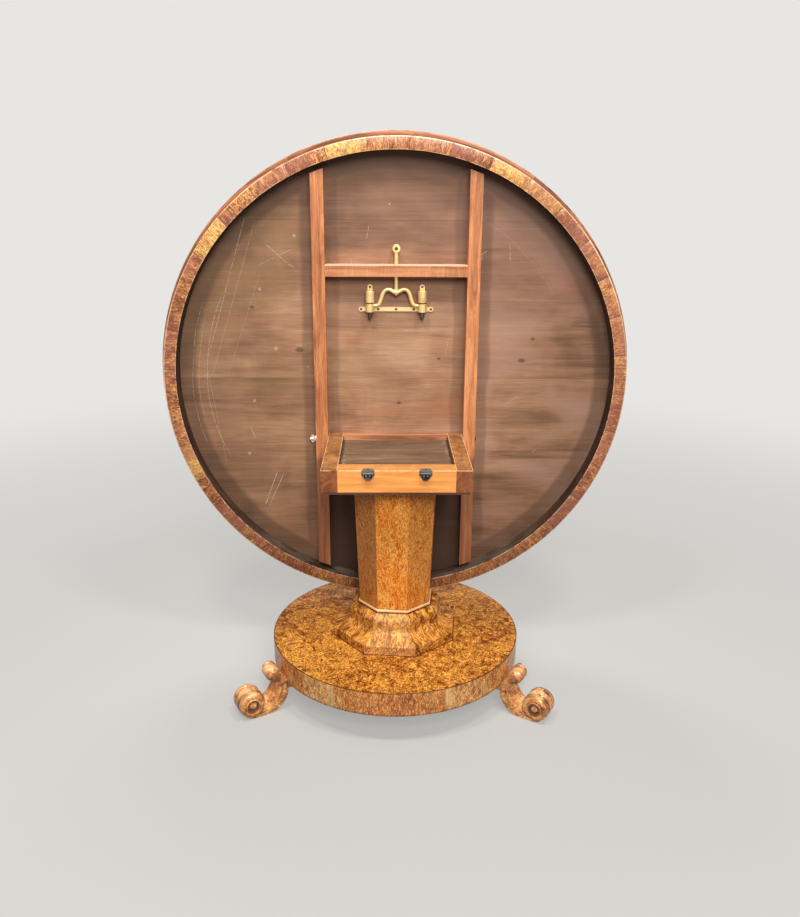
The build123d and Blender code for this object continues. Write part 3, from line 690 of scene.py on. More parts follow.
def ring_timber(name, slot, colours, gloss, pieces=16, first=4.0, dust=0.0, rubbed_highlight=0.0):
    """Timber sawn to a circle about the top's axis: its grain follows the angle."""
    finish = Finish(name, slot, Coat_Roughness=0.2, IOR=1.45, Specular_IOR_Level=0.25)
    turns, radius = turn_about(finish, TOP_MIDDLE, True)
    number, joint = leaves(turns, radius, pieces, first)
    here = finish.point()
    _, y, z = finish.parts_of(here)
    along = finish.vector(turns * math.tau * 0.8 + number, radius * 18.0, y * 18.0)
    tone = finish.noise(along, 5.0, 5.0, 0.6, 0.6) + (finish.chance(number) - 0.5) * 0.12
    dark, middle, light = colours
    low = (z - TOP_MIDDLE.z).step(-0.42, -0.62) * finish.noise(here, 14.0, 3.0).step(0.42, 0.62)
    # A pale line on the outer arris paints rubbed wood and a highlight together.
    crest = radius.step(EDGE_RADIUS - 0.005, EDGE_RADIUS - 0.0012) * finish.noise(here, 40.0, 2.0).step(0.36, 0.56)
    colour = finish.ramp(tone, [(0.34, dark), (0.5, middle), (0.68, light)])
    colour = finish.layers(colour, (dark, joint.step(0.0012, 0.0004) * 0.6), ((0.26, 0.21, 0.165), low * dust),
                           (WEAR_AND_HIGHLIGHT, crest * rubbed_highlight))
    finish.wear(Base_Color=colour, Roughness=gloss + tone * 0.15)
    finish.relief(tone, 0.0005, 0.35)
    return finish


HOOP_STAIN = ((0.016, 0.008, 0.005), (0.046, 0.023, 0.014), (0.095, 0.052, 0.031))
RED_EDGE = ((0.12, 0.038, 0.014), (0.28, 0.098, 0.04), (0.44, 0.18, 0.08))
hoop_wood = ring_timber("hoop_inside_stain", "stained_plank", HOOP_STAIN, 0.6, dust=0.35)
edge_wood = ring_timber("edge_mahogany", "mahogany_edge", RED_EDGE, 0.36, 12, rubbed_highlight=0.18)
paint(edge_wood, "hoop_facing")
ease("edge_lipping", edge_wood, "top", 0.0006)

work = bmesh.new()
HOOP_PIECES = 16
hoop_turn = math.tau / HOOP_PIECES
for k in range(HOOP_PIECES):
    arc_block(work, HOOP_INSIDE, HOOP_OUTSIDE, band_high.y, PLANK_Y, (k + 0.5) * hoop_turn + BAND_JOINT,
              hoop_turn - 2 * BAND_JOINT, HOOP_STEPS)
show("hoop_blocks", finished_mesh("hoop_blocks", work), hoop_wood, "top", "hoop_segments")
print("hoop of", HOOP_PIECES, "blocks, outer radius", round(HOOP_OUTSIDE, 4))

# %% [markdown]
# ## The show side
#
# When the top comes down, this is the face that everyone sees: eight wedges of burr meeting at the centre, under a
# deep polish. Neighbouring wedges are cut from one stack, so they differ little in tone.

# %% Finish the show side
WEDGE_SPREAD = 0.05              # neighbouring wedges from one stack differ little in tone


def wedge_burr(name, slot, centre, upright, count, first, gloss, coat, specular, dark_rim=None, shaded_foot=None):
    """Burr laid in wedges about an axis, with the pattern in each wedge's own frame. Dark lines mark the outer edge,
    and painted shade marks the foot of an octagon whose flats stand shaded_foot from the axis."""
    finish = Finish(name, slot, Coat_Roughness=0.12, Coat_Weight=coat, IOR=1.45, Specular_IOR_Level=specular)
    turns, radius = turn_about(finish, centre, upright)
    number, joint = leaves(turns, radius, count, first)
    swing = (((turns - first / 360.0) * count).fraction() - 0.5) * (math.tau / count)
    log = finish.vector(swing * radius, radius, 0.0)
    colour, figure, tone = burr_colour(finish, log, number, BURR, (1.0, 0.85, 1.0), 1.0, WEDGE_SPREAD)
    stains = [((0.16, 0.05, 0.012), joint.step(0.001, 0.0003) * 0.45)]
    if dark_rim:
        stains.append(((0.06, 0.02, 0.007), radius.step(dark_rim - 0.0034, dark_rim - 0.0018) * 0.85))
    # Painted shade: a dark line round the foot of the collar.
    if shaded_foot:
        flat = swing.cosine() * radius
        stains.append(((0.05, 0.017, 0.006), flat.step(shaded_foot + 0.004, shaded_foot + 0.0012) * 0.9))
    colour = finish.layers(colour, *stains)
    finish.wear(Base_Color=colour, Roughness=gloss + figure * 0.12)
    finish.relief(tone * 0.6 + joint.step(0.0002, 0.0009) * 0.4, 0.0004, 0.25)
    return finish


show_burr = wedge_burr("show_burr", "burr", TOP_MIDDLE, True, 8, 22.5, 0.24, 0.4, 0.5)
paint(show_burr, "show_veneer")
print("show side finished")

# %% [markdown]
# ## The platform
#
# The platform is veneered in wedges that start at the octagon's corners. Its rim is banded, and a dark line marks
# where the two veneers meet at the edge.

# %% Finish the platform
COLUMN_TURN = -5.8               # degrees that the octagon stands turned from the block
FIRST_CORNER = 22.5 + COLUMN_TURN
PLATFORM_RADIUS = 0.364          # to the outside of the rim's banding
collar_low, collar_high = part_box("collar")
collar_corner = (collar_high.x - collar_low.x) / 2 / math.cos(math.radians(FIRST_CORNER))
collar_flat = collar_corner * math.cos(math.pi / 8)
platform_burr = wedge_burr("platform_burr", "burr", AXIS, False, 8, FIRST_CORNER, 0.42, 0.0, 0.2,
                           (platform_high.x - platform_low.x) / 2 + 0.0025, collar_flat)
paint(platform_burr, "platform_veneer")
RIM_PIECES = 7
RIM_FIRST = -29.0                # degrees from the front to the first joint
RIM_BURR = ((0.17, 0.046, 0.011), (0.8, 0.275, 0.062), (1.0, 0.54, 0.175))


def rim_finish():
    """The rim's burr stands upright, in seven long pieces whose ends are edged with pale sapwood."""
    finish = Finish("rim_burr", "burr", Coat_Roughness=0.15, Coat_Weight=0.15, IOR=1.45)
    turns, radius = turn_about(finish, AXIS, False)
    number, joint = leaves(turns, radius, RIM_PIECES, RIM_FIRST)
    z = finish.parts_of(finish.point())[2]
    log = finish.vector(turns * math.tau * PLATFORM_RADIUS, z, 0.0)
    colour, figure, tone = burr_colour(finish, log, number + 20.0, RIM_BURR, (1.25, 0.5, 1.0), 0.95)
    sap = joint.step(0.016, 0.003) * finish.noise(log, 40.0, 3.0).step(0.3, 0.55)
    low = z.step(platform_low.z + 0.007, platform_low.z + 0.001)
    colour = finish.layers(colour, ((0.92, 0.58, 0.24), sap * 0.75),
                           ((0.25, 0.09, 0.03), joint.step(0.0012, 0.0004) * 0.5), ((0.09, 0.032, 0.012), low * 0.6))
    finish.wear(Base_Color=colour, Roughness=0.34 + figure * 0.12)
    finish.relief(tone, 0.0004, 0.3)
    return finish


paint(rim_finish(), "platform_rim_band")
print("platform finished, axis at y", round(AXIS.y, 4))

# %% [markdown]
# ## The column, its bead and its collar
#
# The column is eight tapered facets mitred at the corners. Its burr is drawn out along the height, like rain on
# glass. The collar is veneered facet by facet, and its finish lightens a little at each corner, as worn polish and a
# painted highlight. Some facets are painted darker or lighter as painted shade and painted light. The bead between
# them is a lighter wood, and lines of painted shade run at the bead and the collar's foot.

# %% Finish the column, the bead and the collar
def facet_burr(name, colours, stretch, curl, seed, shaded_facets, lit_facets=(), arris=0.0, lines=()):
    """Burr on the eight upright facets. shaded_facets get painted shade and lit_facets painted light, arris paints
    worn polish and a highlight at the corners, and lines are painted shade at given heights.
    """
    finish = Finish(name, "burr", Coat_Roughness=0.2, Coat_Weight=0.03, IOR=1.45, Specular_IOR_Level=0.18)
    turns, radius = turn_about(finish, AXIS, False)
    number, joint = leaves(turns, radius, 8, FIRST_CORNER)
    z = finish.parts_of(finish.point())[2]
    place = ((turns - FIRST_CORNER / 360.0) * 8.0).fraction() - 0.5
    log = finish.vector(place * (math.tau / 8) * radius, 0.0, z)
    colour, figure, tone = burr_colour(finish, log, number + seed, colours, stretch, curl, 0.06)
    # Painted shade on the darker facets, painted light on the paler ones, a painted highlight with worn polish at the
    # corners, and painted shade along the lines.
    stains = [((0.22, 0.065, 0.012), abs(number - float(facet)).step(0.5, 0.4) * share) for facet, share in shaded_facets]
    stains += [((0.92, 0.62, 0.34), abs(number - float(facet)).step(0.5, 0.4) * share) for facet, share in lit_facets]
    stains.append(((0.96, 0.66, 0.3), joint.step(0.0022, 0.0006) * arris))
    stains += [((0.05, 0.017, 0.006), abs(z - height).step(0.0016, 0.0006) * 0.9) for height in lines]
    finish.wear(Base_Color=finish.layers(colour, *stains), Roughness=0.34 + figure * 0.14)
    finish.relief(tone, 0.0004, 0.3)
    return finish


COLUMN_BURR = ((0.4, 0.105, 0.012), (1.0, 0.295, 0.036), (1.0, 0.44, 0.085))
COLLAR_BURR = ((0.11, 0.028, 0.004), (0.5, 0.155, 0.02), (0.84, 0.36, 0.066))
bead_low, bead_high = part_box("collar_bead")
# The left and right front facets get painted shade, the collar's front facet painted light, and lines of painted
# shade run at the bead and the collar's foot.
column_burr = facet_burr("column_burr", COLUMN_BURR, (1.35, 1.0, 0.55), 1.12, 0.0, ((6, 0.42), (0, 0.2)),
                         lines=(bead_high.z,))
collar_burr = facet_burr("collar_burr", COLLAR_BURR, (1.0, 1.0, 0.7), 0.85, 30.0, ((6, 0.12), (0, 0.08)),
                         ((7, 0.14),), 0.06, (bead_low.z, collar_low.z))
paint(column_burr, "column_veneer")
ease("collar", collar_burr, "base", 0.0005)
bead_wood = timber("bead_wood", "golden_rail", "X", (0.8, 0.4, 0.14), (0.98, 0.6, 0.27), (1.0, 0.74, 0.42), 0.4)
ease("collar_bead", bead_wood, "base", 0.002)
print("column finished")

# %% [markdown]
# ## The scroll feet
#
# Each foot is a carved C: a broad strap that rolls up at the floor and curls over at the top. The hollow of the C
# is crowned, so it is thick along its middle and thin at both sides. That is modelled as one outline pushed across
# the foot, again and again, while its inner line moves between a thin and a thick version.

# %% Draw the strap
FOOT_TURNS = {"left": -61.5, "right": 58.5, "back": 178.5}
STRAP_HALF = 0.029               # half of the strap's width
CROWN_EDGE = 0.93                # the crown ends at this part of the half width, and leaves a flat border
# These lines are in millimetres, as distance from the column's axis and height.
BACK_LINE = [(400, 136), (388, 131), (374, 114.5), (366.5, 97), (361.5, 80), (360, 62), (366.5, 41), (384, 17),
             (404, 4), (430, 0.5), (458, 0.5), (478, 4), (490, 16), (493, 34)]
THIN_LINE = [(455, 9), (430, 12), (410, 21), (391, 38), (381, 58), (378, 80), (385, 97), (398, 104)]
THICK_LINE = [(455, 46), (437, 46), (424, 52), (412, 64), (404, 78), (399, 90), (398, 99), (402, 108)]
ROLL = (0.4675, 0.043)           # the roll's axis and the curl's, in metres
CURL = (0.402, 0.116)


def smooth_line(points, steps=5):
    """A smooth line through a few places, given in millimetres."""
    places = [Vector(point) / 1000.0 for point in points]
    padded = [places[0], *places, places[-1]]
    line = []
    for before, start, end, after in zip(padded, padded[1:], padded[2:], padded[3:]):
        pull = start + (end - before) / 6.0, end - (after - start) / 6.0
        line += interpolate_bezier(start, *pull, end, steps + 1)[:-1]
    return line + [places[-1]]


def strap_line(offset):
    """The strap's outline at a part of its half width: thick in the middle, thin at the sides."""
    thick = max(0.0, 1.0 - (abs(offset) / CROWN_EDGE) ** 2.2)
    inner = [thin.lerp(full, thick) for thin, full in zip(smooth_line(THIN_LINE), smooth_line(THICK_LINE))]
    return smooth_line(BACK_LINE) + inner


def strap(work):
    """Pushes the outline across the foot."""
    offsets = [-1.0, -0.97, -0.93, -0.88, -0.8, -0.65, -0.45, -0.2, 0.0]
    offsets += [-offset for offset in reversed(offsets[:-1])]
    ring = [work.verts.new((line.x, offsets[0] * STRAP_HALF, line.y)) for line in strap_line(offsets[0])]
    face = work.faces.new(ring)
    for offset in offsets[1:]:
        made = bmesh.ops.extrude_face_region(work, geom=[face])["geom"]
        new = {vert for vert in made if isinstance(vert, bmesh.types.BMVert)}
        face = next(part for part in made if isinstance(part, bmesh.types.BMFace))
        ring = [next(edge.other_vert(v) for edge in v.link_edges if edge.other_vert(v) in new) for v in ring]
        for vert, line in zip(ring, strap_line(offset)):
            vert.co = (line.x, offset * STRAP_HALF, line.y)


work = bmesh.new()
strap(work)
print("strap", len(work.verts), "vertices")

# %% [markdown]
# The roll at the floor and the curl at the top are turned shapes, like the ends of a bolt of cloth. A half profile
# is spun round the roll's own axis. The profile has two beads near each end, and the roll's end is sunk round a
# button, which makes the eye of the scroll; the finish paints the eye's shade dark.

# %% Spin the roll and the curl
# Each profile runs from one end to the middle. It gives the distance from the middle, and the radius there.
ROLL_END = [(0.0355, 0.0), (0.0353, 0.005), (0.0342, 0.0082), (0.0318, 0.0096), (0.0294, 0.0102), (0.0292, 0.0114),
            (0.0316, 0.0122), (0.034, 0.0134), (0.035, 0.0156), (0.0348, 0.018), (0.0332, 0.02),
            (0.0298, 0.021), (0.0296, 0.0224), (0.032, 0.0234), (0.034, 0.0248), (0.0348, 0.028),
            (0.034, 0.0312), (0.0318, 0.034), (0.029, 0.0358), (0.0258, 0.0368), (0.0222, 0.0376),
            (0.0196, 0.0376), (0.0184, 0.0366), (0.0176, 0.0338), (0.0122, 0.0336), (0.0113, 0.0362),
            (0.0096, 0.0374), (0.005, 0.038), (0.0, 0.0381)]
CURL_END = [(0.031, 0.0), (0.031, 0.0095), (0.03, 0.0125), (0.029, 0.0142), (0.0272, 0.0152), (0.0258, 0.0146),
            (0.025, 0.015), (0.0236, 0.0172), (0.0218, 0.0176), (0.0204, 0.0164), (0.0194, 0.0172),
            (0.0176, 0.0192), (0.0156, 0.0194), (0.0142, 0.0182), (0.013, 0.0188), (0.008, 0.0196), (0.0, 0.0198)]


def turned(work, half_profile, centre, steps):
    """Spins a profile and its mirror image round an axis that runs across the foot."""
    across = [(-offset, radius) for offset, radius in half_profile]
    across += [(offset, radius) for offset, radius in reversed(half_profile[:-1])]
    line = [work.verts.new((centre[0] + radius, offset, centre[1])) for offset, radius in across]
    edges = [work.edges.new(pair) for pair in zip(line, line[1:])]
    bmesh.ops.spin(work, geom=line + edges, cent=(centre[0], 0.0, centre[1]), axis=(0.0, 1.0, 0.0),
                   angle=math.tau, steps=steps, use_merge=True, use_duplicate=False)


ROLL_STEPS, CURL_STEPS = 64, 40
turned(work, ROLL_END, ROLL, ROLL_STEPS)
turned(work, CURL_END, CURL, CURL_STEPS)
bmesh.ops.remove_doubles(work, verts=work.verts, dist=TOUCHING)
print("foot", len(work.faces), "faces")

# %% [markdown]
# The carving's finish knows where it is on the foot. The angle round the column gives the nearest foot, and from
# there come the place along the foot and the place across it. Shade is painted dark in the grooves, the eye, the
# corners and under the curl, together with old polish gathered there, and hands and brooms have worn the crests pale.

# %% Finish the carving
CARVED = ((0.13, 0.036, 0.009), (0.58, 0.205, 0.046), (1.0, 0.56, 0.19))
GROOVES = (0.0109, 0.0219)       # the roll's two grooves, from its middle


def carved_finish():
    """Polished carving, with painted shade and dark old polish in the eye, the grooves and the corners, and worn pale
    on the crests.
    """
    finish = Finish("carved_gold", "carved_foot", Coat_Roughness=0.1, Coat_Weight=0.7, IOR=1.45)
    turns, radius = turn_about(finish, AXIS, False)
    near = ((turns - FOOT_TURNS["left"] / 360.0) * 3.0 + 0.5).fraction() - 0.5
    swing = near * (math.tau / 3.0)
    away = swing.cosine() * radius
    across = abs(swing.sine() * radius)
    here = finish.point()
    z = finish.parts_of(here)[2]
    roll_gap = finish.length(away - ROLL[0], z - ROLL[1])
    curl_gap = finish.length(away - CURL[0], z - CURL[1])
    cloud = finish.noise(here, 24.0, 4.0, 0.6, 0.8)
    flecks = finish.noise((away, across * 2.6, z), 130.0, 3.0, 0.6, 1.0)
    tone = cloud * 0.6 + flecks * 0.4
    dark, middle, light = CARVED
    on_roll = roll_gap.step(0.03, 0.034)
    lines = 0.0
    for groove in GROOVES:
        lines = abs(across - groove).step(0.0022, 0.0006) + lines
    lines = lines * on_roll * roll_gap.step(0.04, 0.0385)
    eye = abs(roll_gap - 0.0145).step(0.0042, 0.0032) * across.step(0.029, 0.03)
    corner = abs(roll_gap - 0.038).step(0.006, 0.0) * away.step(0.442, 0.437) * z.step(0.036, 0.044)
    under_curl = abs(curl_gap - 0.02).step(0.007, 0.0) * z.step(0.108, 0.1)
    border = abs(across - STRAP_HALF * CROWN_EDGE).step(0.0015, 0.0002) * on_roll * 0.5
    # Painted shade, with old polish, in the eye, the grooves, the corners, the border and under the curl.
    shade_and_polish = (eye + lines * 0.75 + corner * 0.8 + under_curl * 0.7 + border).least(1.0)
    crests = (z.step(0.07, 0.081) * roll_gap.step(0.045, 0.04) + z.step(0.124, 0.134)).least(1.0)
    colour = finish.layers(finish.ramp(tone, [(0.38, dark), (0.49, middle), (0.6, light)]),
                           ((0.055, 0.018, 0.008), shade_and_polish * 0.9),
                           ((0.93, 0.62, 0.3), crests * cloud.step(0.4, 0.6) * 0.55))
    finish.wear(Base_Color=colour, Roughness=0.26 + flecks * 0.16 + shade_and_polish * 0.3)
    finish.relief(cloud * 0.5 + flecks * 0.5 - shade_and_polish * 0.4, 0.0012, 0.5)
    return finish


carved = carved_finish()
foot_mesh = finished_mesh("foot", work, math.radians(32))
for name, turn in FOOT_TURNS.items():
    mesh = foot_mesh.copy()
    mesh.transform(Matrix.Translation((AXIS.x, AXIS.y, 0.0)) @ Matrix.Rotation(math.radians(turn - 90.0), 4, "Z"))
    show(f"scroll_foot_{name}", mesh, carved, "base", f"foot_{name}")
print("three feet,", len(carved.tree.nodes), "nodes in the finish")

# %% [markdown]
# ## Hidden carpentry of the base
#
# A block under the platform takes each foot's tongue, held by two screws. The undersides were never polished.

# %% Dress the base's carpentry
RAW = ((0.3, 0.2, 0.115), (0.5, 0.37, 0.23), (0.66, 0.53, 0.36))
raw_wood = timber("raw_pine", "raw_wood", "X", *RAW, 0.62, 0.25)
block_wood = timber("foot_block_wood", "golden_rail", "Y", (0.33, 0.14, 0.05), (0.6, 0.32, 0.13), (0.78, 0.5, 0.25),
                    0.45)
for name in FOOT_TURNS:
    ease(f"foot_block_{name}", block_wood, "base", 0.0008)
paint(raw_wood, "platform_core", "column_core")
print("base carpentry dressed")

# %% [markdown]
# ## The block
#
# The block is a mitreless frame: red side members run front to back and show their end grain at the front, and a
# golden rail is tenoned between them. A stained panel lies sunk inside. Every top arris is rubbed to bare wood and
# catches the light, and a thin pale line along the edge paints both. The line is the distance to the piece's own top
# edges.

# %% Finish the block
block_low, block_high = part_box("block_front_rail")
SIDE_RED = ((0.105, 0.03, 0.011), (0.35, 0.108, 0.036), (0.55, 0.205, 0.072))
FRONT_GOLD = ((0.7, 0.24, 0.044), (0.95, 0.37, 0.08), (1.0, 0.48, 0.13))
BROWNED = ((0.36, (0.15, 0.064, 0.02)), (0.5, (0.3, 0.128, 0.04)), (0.64, (0.48, 0.24, 0.085)))
PANEL_GREY = ((0.065, 0.036, 0.02), (0.15, 0.086, 0.048), (0.27, 0.175, 0.09))
front_wood = timber("block_front_gold", "golden_rail", "X", *FRONT_GOLD, 0.3, 0.25, 0.25)
panel_wood = timber("block_panel_grey", "stained_plank", "X", *PANEL_GREY, 0.5, 0.5, 0.0, 1.2)
board_wood = timber("block_board", "mahogany", "X", (0.07, 0.026, 0.014), (0.185, 0.07, 0.034), (0.3, 0.125, 0.062))


def rub_and_highlight_edges(finish, low, high, width, colour, top_share):
    """A browned top, and pale lines along the long edges of a box-shaped piece, on its top and its front, which paint
    rubbed wood and a highlight together.
    """
    here = finish.point()
    x, y, z = finish.parts_of(here)
    near_top = (high.z - z).step(width, width * 0.3)
    near_front = (y - low.y).step(width, width * 0.3)
    near_side = (x - low.x).least(high.x - x).step(width, width * 0.3)
    # The pale edge line paints rubbed wood and a highlight together.
    edge = (near_top * near_front).most(near_top * near_side)
    broken = finish.noise(here, 45.0, 2.0).step(0.3, 0.46)
    up = finish.parts_of(finish.facing())[2].step(0.6, 0.85)
    patches = finish.noise(here, 26.0, 4.0, 0.65, 0.8)
    finish.stain((finish.ramp(patches, BROWNED), up * top_share), (colour, edge * broken * 0.9))


for side in ("left", "right"):
    low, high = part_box(f"block_side_{side}")
    finish = timber(f"block_side_{side}_red", "mahogany", "Y", *SIDE_RED, 0.38, 0.3, 0.15)
    finish.shader.inputs["Specular IOR Level"].default_value = 0.25
    rub_and_highlight_edges(finish, low, high, 0.0022, (0.86, 0.56, 0.32), 0.78)
    ease(f"block_side_{side}", finish, "base", 0.001)
rub_and_highlight_edges(front_wood, block_low, block_high, 0.002, (0.97, 0.78, 0.48), 0.45)
ease("block_front_rail", front_wood, "base", 0.0009)
ease("block_back_rail", timber("block_back_rail_red", "mahogany", "X", (0.16, 0.052, 0.022), (0.46, 0.175, 0.075),
                               (0.68, 0.31, 0.145), 0.4), "base", 0.001)
x, y, _ = panel_wood.parts_of(panel_wood.point())
gap = (block_high.x - 0.022 - abs(x)).least(y - block_high.y)
dusty = gap.step(0.022, 0.006) * panel_wood.noise(panel_wood.point(), 60.0, 3.0).step(0.5, 0.66)
# Painted shade: the sunk panel darkens next to the frame.
panel_wood.stain(((0.42, 0.37, 0.3), dusty * 0.5), ((0.03, 0.016, 0.01), gap.step(0.01, 0.002) * 0.75))
ease("block_panel", panel_wood, "base", 0.0)
ease("block_bottom_board", board_wood, "base", 0.001)
ease("panel_cleats", raw_wood, "base", 0.001)
print("block finished, top at", round(block_high.z, 4))

# %% [markdown]
# ## Metal
#
# The catch is cast and turned brass, rubbed bright on its crests and brown in its corners. Old brass isn't one
# colour, so a slow noise moves it between bright and brown, and the brown parts are rougher. The strikes, the
# pivots and the springs are steel.

# %% Describe metals
def metal(name, slot, bright, dull, dark, gloss, metallic=1.0):
    """Old metal, with a slow cloud of tarnish and fine specks in it."""
    finish = Finish(name, slot, Metallic=metallic)
    here = finish.point()
    cloud = finish.noise(here, 26.0, 4.0, 0.6, 0.4)
    specks = finish.noise(here, 364.0, 2.0, 0.5)
    tone = cloud * 0.72 + specks * 0.28
    colour = finish.ramp(tone, [(0.3, dark), (0.44, dull), (0.58, bright)])
    finish.wear(Base_Color=colour, Roughness=tone.step(0.6, 0.35) * 0.22 + gloss)
    finish.relief(tone, 0.0003, 0.25)
    return finish


brass = metal("old_brass", "brass", (0.95, 0.72, 0.36), (0.8, 0.54, 0.22), (0.34, 0.19, 0.07), 0.34, 0.72)
knob_low, knob_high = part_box("catch_knob")
barrel_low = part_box("catch_barrel_right")[0]
x, _, z = brass.parts_of(brass.point())
off_knob = brass.length(x - (knob_low.x + knob_high.x) / 2, z - (knob_low.z + knob_high.z) / 2)
# The barrels' groove is not modelled: a dark painted line stands for its shade and tarnish.
groove = abs(z - barrel_low.z - 0.0255).step(0.0024, 0.0012) * abs(x).step(barrel_low.x - 0.001, barrel_low.x + 0.001)
brass.stain(((0.045, 0.022, 0.01), off_knob.step(0.0052, 0.0042).most(groove) * 0.92))
bright_steel = metal("bright_steel", "steel", (0.82, 0.82, 0.78), (0.58, 0.57, 0.53), (0.24, 0.21, 0.17), 0.28)
brown_steel = metal("brown_steel", "steel", (0.17, 0.125, 0.09), (0.085, 0.058, 0.04), (0.03, 0.02, 0.014), 0.38)
strike_low, strike_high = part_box("strike_right")
strike_steel = metal("strike_steel", "steel", (0.2, 0.205, 0.2), (0.09, 0.092, 0.09), (0.03, 0.03, 0.028), 0.34,
                     0.85)
x, y, z = strike_steel.parts_of(strike_steel.point())
across = abs(abs(x) - (strike_low.x + strike_high.x) / 2)
height = z - strike_low.z
# Painted detail: the recess and the dark outline are painted shade, and the glint and the bright lip are painted
# highlights.
recess_shade = across.step(0.0112, 0.01) * abs(height - 0.014).step(0.0056, 0.0046) * (y - strike_low.y).step(0.01, 0.008)
glint = abs(across - 0.0048).step(0.0022, 0.0012) * abs(height - 0.0135).step(0.0034, 0.0022)
lip = abs(height - 0.0225).step(0.0022, 0.0012).most(height.step(0.0262, 0.0266) * 0.8)
strike_steel.stain(((0.015, 0.014, 0.013), recess_shade.most(across.step(0.014, 0.0155)) * 0.92),
                   ((0.6, 0.6, 0.56), glint.most(lip * 0.6) * 0.75))
print("metals ready")

# %% [markdown]
# The springs sit between the bolts' tails and the closed ends of the barrels. When the lever is drawn up, the bolts
# press them shorter. Here each spring is its CAD shape, copied to a mesh of its own.

# %% Dress the metal pieces
for side in ("left", "right"):
    paint(strike_steel, f"strike_{side}")
    ease(f"catch_barrel_{side}", brass, "top", 0.0004)
    ease(f"catch_bolt_{side}", brown_steel, "catch", 0.0)
    low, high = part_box(f"catch_spring_{side}")
    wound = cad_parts[f"catch_spring_{side}"].data.copy()
    spring = show(f"wound_spring_{side}", wound, bright_steel, "top", f"catch_spring_{side}")
    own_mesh(spring)
paint(brown_steel, "catch_screws", "strike_screws", "pivot_screw_right", "foot_block_screws")
ease("pivot_stud_left", bright_steel, "base", 0.0)
ease("pivot_washer_left", bright_steel, "base", 0.0003)
nut_low, nut_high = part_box("pivot_nut_left")
nut_middle = (nut_low + nut_high) / 2
NUT_FOOT, NUT_CROWN, NUT_DEPTH = 0.0088, 0.0068, 0.008
WING_SIZE = (0.011, 0.004, 0.0085, 1.0)
WING_OUT, WING_UP, WING_LEAN, WING_ARRIS = 0.0045, 0.0068, 0.5, 0.0013
work = bmesh.new()
bmesh.ops.create_cone(work, segments=24, radius1=NUT_FOOT, radius2=NUT_CROWN, depth=NUT_DEPTH, cap_ends=True,
                      matrix=Matrix.Rotation(-math.pi / 2, 4, "Y"))
for side in (-1.0, 1.0):
    place = Matrix.Translation((-WING_OUT, 0.0, side * WING_UP)) @ Matrix.Rotation(side * WING_LEAN, 4, "Y")
    wing = bmesh.ops.create_cube(work, size=1.0, matrix=place @ Matrix.Diagonal(WING_SIZE))
    edges = {edge for vert in wing["verts"] for edge in vert.link_edges}
    bmesh.ops.bevel(work, geom=list(edges), offset=WING_ARRIS, offset_type="OFFSET", affect="EDGES", segments=3,
                    profile=0.5, material=-1)
bmesh.ops.translate(work, verts=work.verts, vec=nut_middle)
tinned = metal("tinned_nut", "steel", (0.7, 0.67, 0.56), (0.5, 0.47, 0.36), (0.16, 0.12, 0.07), 0.42, 0.35)
show("pivot_wing_nut", finished_mesh("pivot_wing_nut", work, math.radians(35)), tinned, "base", "pivot_nut_left")
ease("catch_plate", brass, "top", 0.0005)
ease("catch_knob", brass, "catch", 0.0004)
print("metal pieces dressed")

# %% [markdown]
# ## The bow lever
#
# One brass rod, forged to a bow, joins the two bolts, and a stem rises from its middle. A bent rod is what a curve
# with a round bevel makes: the spline gives the bend, and each point's radius gives the taper. The pointed boss
# under the stem and the swellings are turned on the same line.

# %% Bend the lever
lever_low, lever_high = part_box("catch_lever")
LEVER_Y = (lever_low.y + lever_high.y) / 2
LEVER_FOOT = lever_low.z + 0.0048  # the line of the lever's two ends
BOW = [                          # from one end to the middle: x, rise above the ends, radius in millimetres
    (0.0752, 0.0, 4.6), (0.066, 0.0, 4.6), (0.059, 0.0, 4.9), (0.052, 0.0012, 6.2), (0.047, 0.0085, 6.2),
    (0.043, 0.02, 6.2), (0.0395, 0.033, 6.2), (0.0345, 0.0425, 6.2), (0.0265, 0.047, 6.3),
    (0.018, 0.0465, 6.3), (0.0105, 0.042, 6.3), (0.005, 0.0385, 6.3), (0.0, 0.038, 6.4)]


def rod_mesh(name, points):
    """A round rod along (x, rise, radius in millimetres) points, as a mesh."""
    curve = bpy.data.curves.new(name, "CURVE")
    curve.dimensions = "3D"
    curve.bevel_depth = 0.001
    curve.bevel_resolution = 4
    curve.use_fill_caps = True
    spline = curve.splines.new("NURBS")
    spline.points.add(len(points) - 1)
    for point, (x, rise, radius) in zip(spline.points, points):
        point.co = (x, LEVER_Y, LEVER_FOOT + rise, 1.0)
        point.radius = radius
    spline.order_u = 3
    spline.use_endpoint_u = True
    spline.resolution_u = 6
    holder = bpy.data.objects.new(name, curve)
    mesh = bpy.data.meshes.new_from_object(holder)
    bpy.data.objects.remove(holder)
    return mesh


bow_line = BOW + [(-x, rise, radius) for x, rise, radius in reversed(BOW[:-1])]
stem_top = lever_high.z - LEVER_FOOT
stem_line = [(0.0, 0.028, 1.4), (0.0, 0.03, 3.4), (0.0, 0.0345, 6.2), (0.0, 0.042, 6.8), (0.0, 0.048, 6.0),
             (0.0, 0.054, 5.9), (0.0, 0.09, 5.9), (0.0, stem_top - 0.03, 5.9), (0.0, stem_top, 5.9)]
work = bmesh.new()
work.from_mesh(rod_mesh("bow", bow_line))
work.from_mesh(rod_mesh("stem", stem_line))
bmesh.ops.remove_doubles(work, verts=work.verts, dist=TOUCHING)
show("bow_lever", finished_mesh("bow_lever", work, math.radians(45)), brass, "catch", "catch_lever")
print("lever from", round(lever_low.z, 4), "to", round(lever_high.z, 4))

# %% [markdown]
# ## The floor, and the end
#
# The floor is plain and keeps the table's shadow. Far from the table it turns into the pale colour of the
# background, for the eye alone: its own light on the object stays as it is.

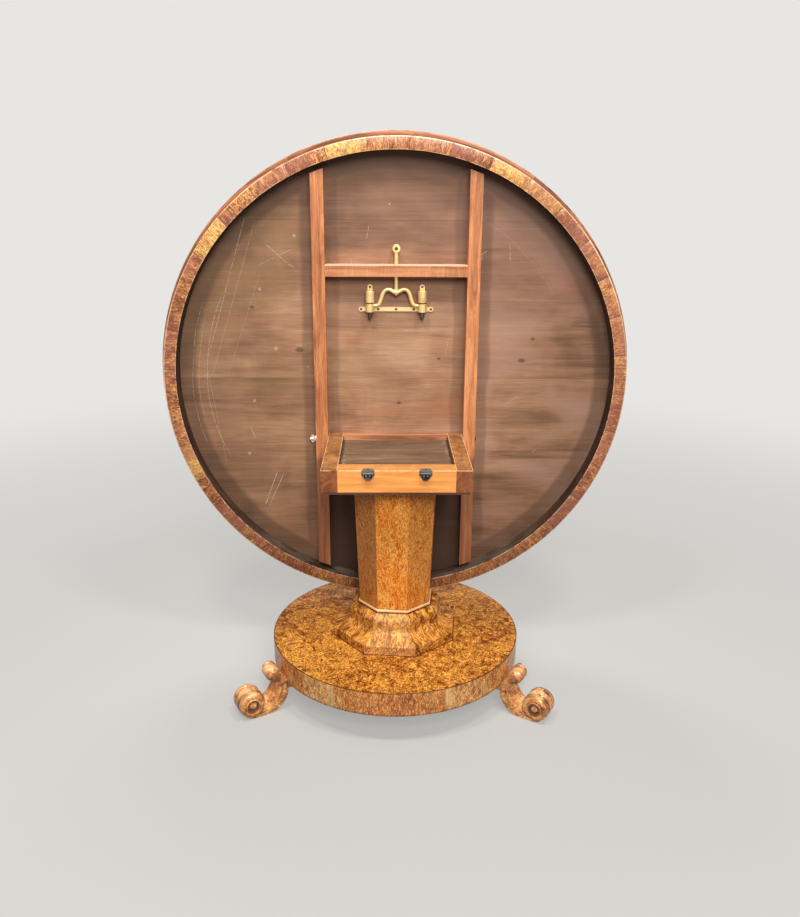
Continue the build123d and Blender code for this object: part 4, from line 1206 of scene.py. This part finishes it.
# %% Lay the floor and finish
PALE = (0.8, 0.79, 0.77)
FLOOR_RADIUS = 14.0
FADE_FROM, FADE_TO = 1.0, 4.2    # the floor's own shading fades between these distances


def seen_directly(tree):
    """1 for what the eye or a mirror sees, 0 for the light that falls on the object."""
    path = tree.nodes.new("ShaderNodeLightPath")
    total = path.outputs["Is Camera Ray"]
    for name in ("Is Glossy Ray", "Is Transmission Ray"):
        either = tree.nodes.new("ShaderNodeMath")
        either.operation = "MAXIMUM"
        tree.links.new(total, either.inputs[0])
        tree.links.new(path.outputs[name], either.inputs[1])
        total = either.outputs[0]
    return total


backdrop = world.node_tree.nodes.new("ShaderNodeBackground")
backdrop.inputs["Color"].default_value = (*PALE, 1.0)
choice = world.node_tree.nodes.new("ShaderNodeMixShader")
world.node_tree.links.new(seen_directly(world.node_tree), choice.inputs[0])
world.node_tree.links.new(sky.outputs[0], choice.inputs[1])
world.node_tree.links.new(backdrop.outputs[0], choice.inputs[2])
world.node_tree.links.new(choice.outputs[0], world.node_tree.nodes["World Output"].inputs["Surface"])

work = bmesh.new()
bmesh.ops.create_circle(work, cap_ends=True, segments=96, radius=FLOOR_RADIUS)
floor_mesh = bpy.data.meshes.new("floor")
work.to_mesh(floor_mesh)
work.free()
floor = bpy.data.objects.new("floor", floor_mesh)
bpy.context.scene.collection.objects.link(floor)
finish = Finish("floor_grey", "floor", Roughness=0.6)
direct = Wire(finish, seen_directly(finish.tree))
finish.wear(Base_Color=finish.mix((0.13, 0.125, 0.12), (0.4, 0.39, 0.37), direct))
distance = finish.node("VectorMath", {"operation": "LENGTH"}, {0: finish.point()}, output=1)
glow = finish.node("Emission", {}, {"Color": (*PALE, 1.0)})
share = (distance.step(FADE_FROM, FADE_TO) * 0.55 + 0.45) * direct
surface = finish.node("MixShader", {}, {0: share, 1: Wire(finish, finish.shader.outputs[0]), 2: glow})
finish.tree.links.new(surface.socket, finish.tree.nodes["Material Output"].inputs["Surface"])
floor_mesh.materials.append(finish.material)
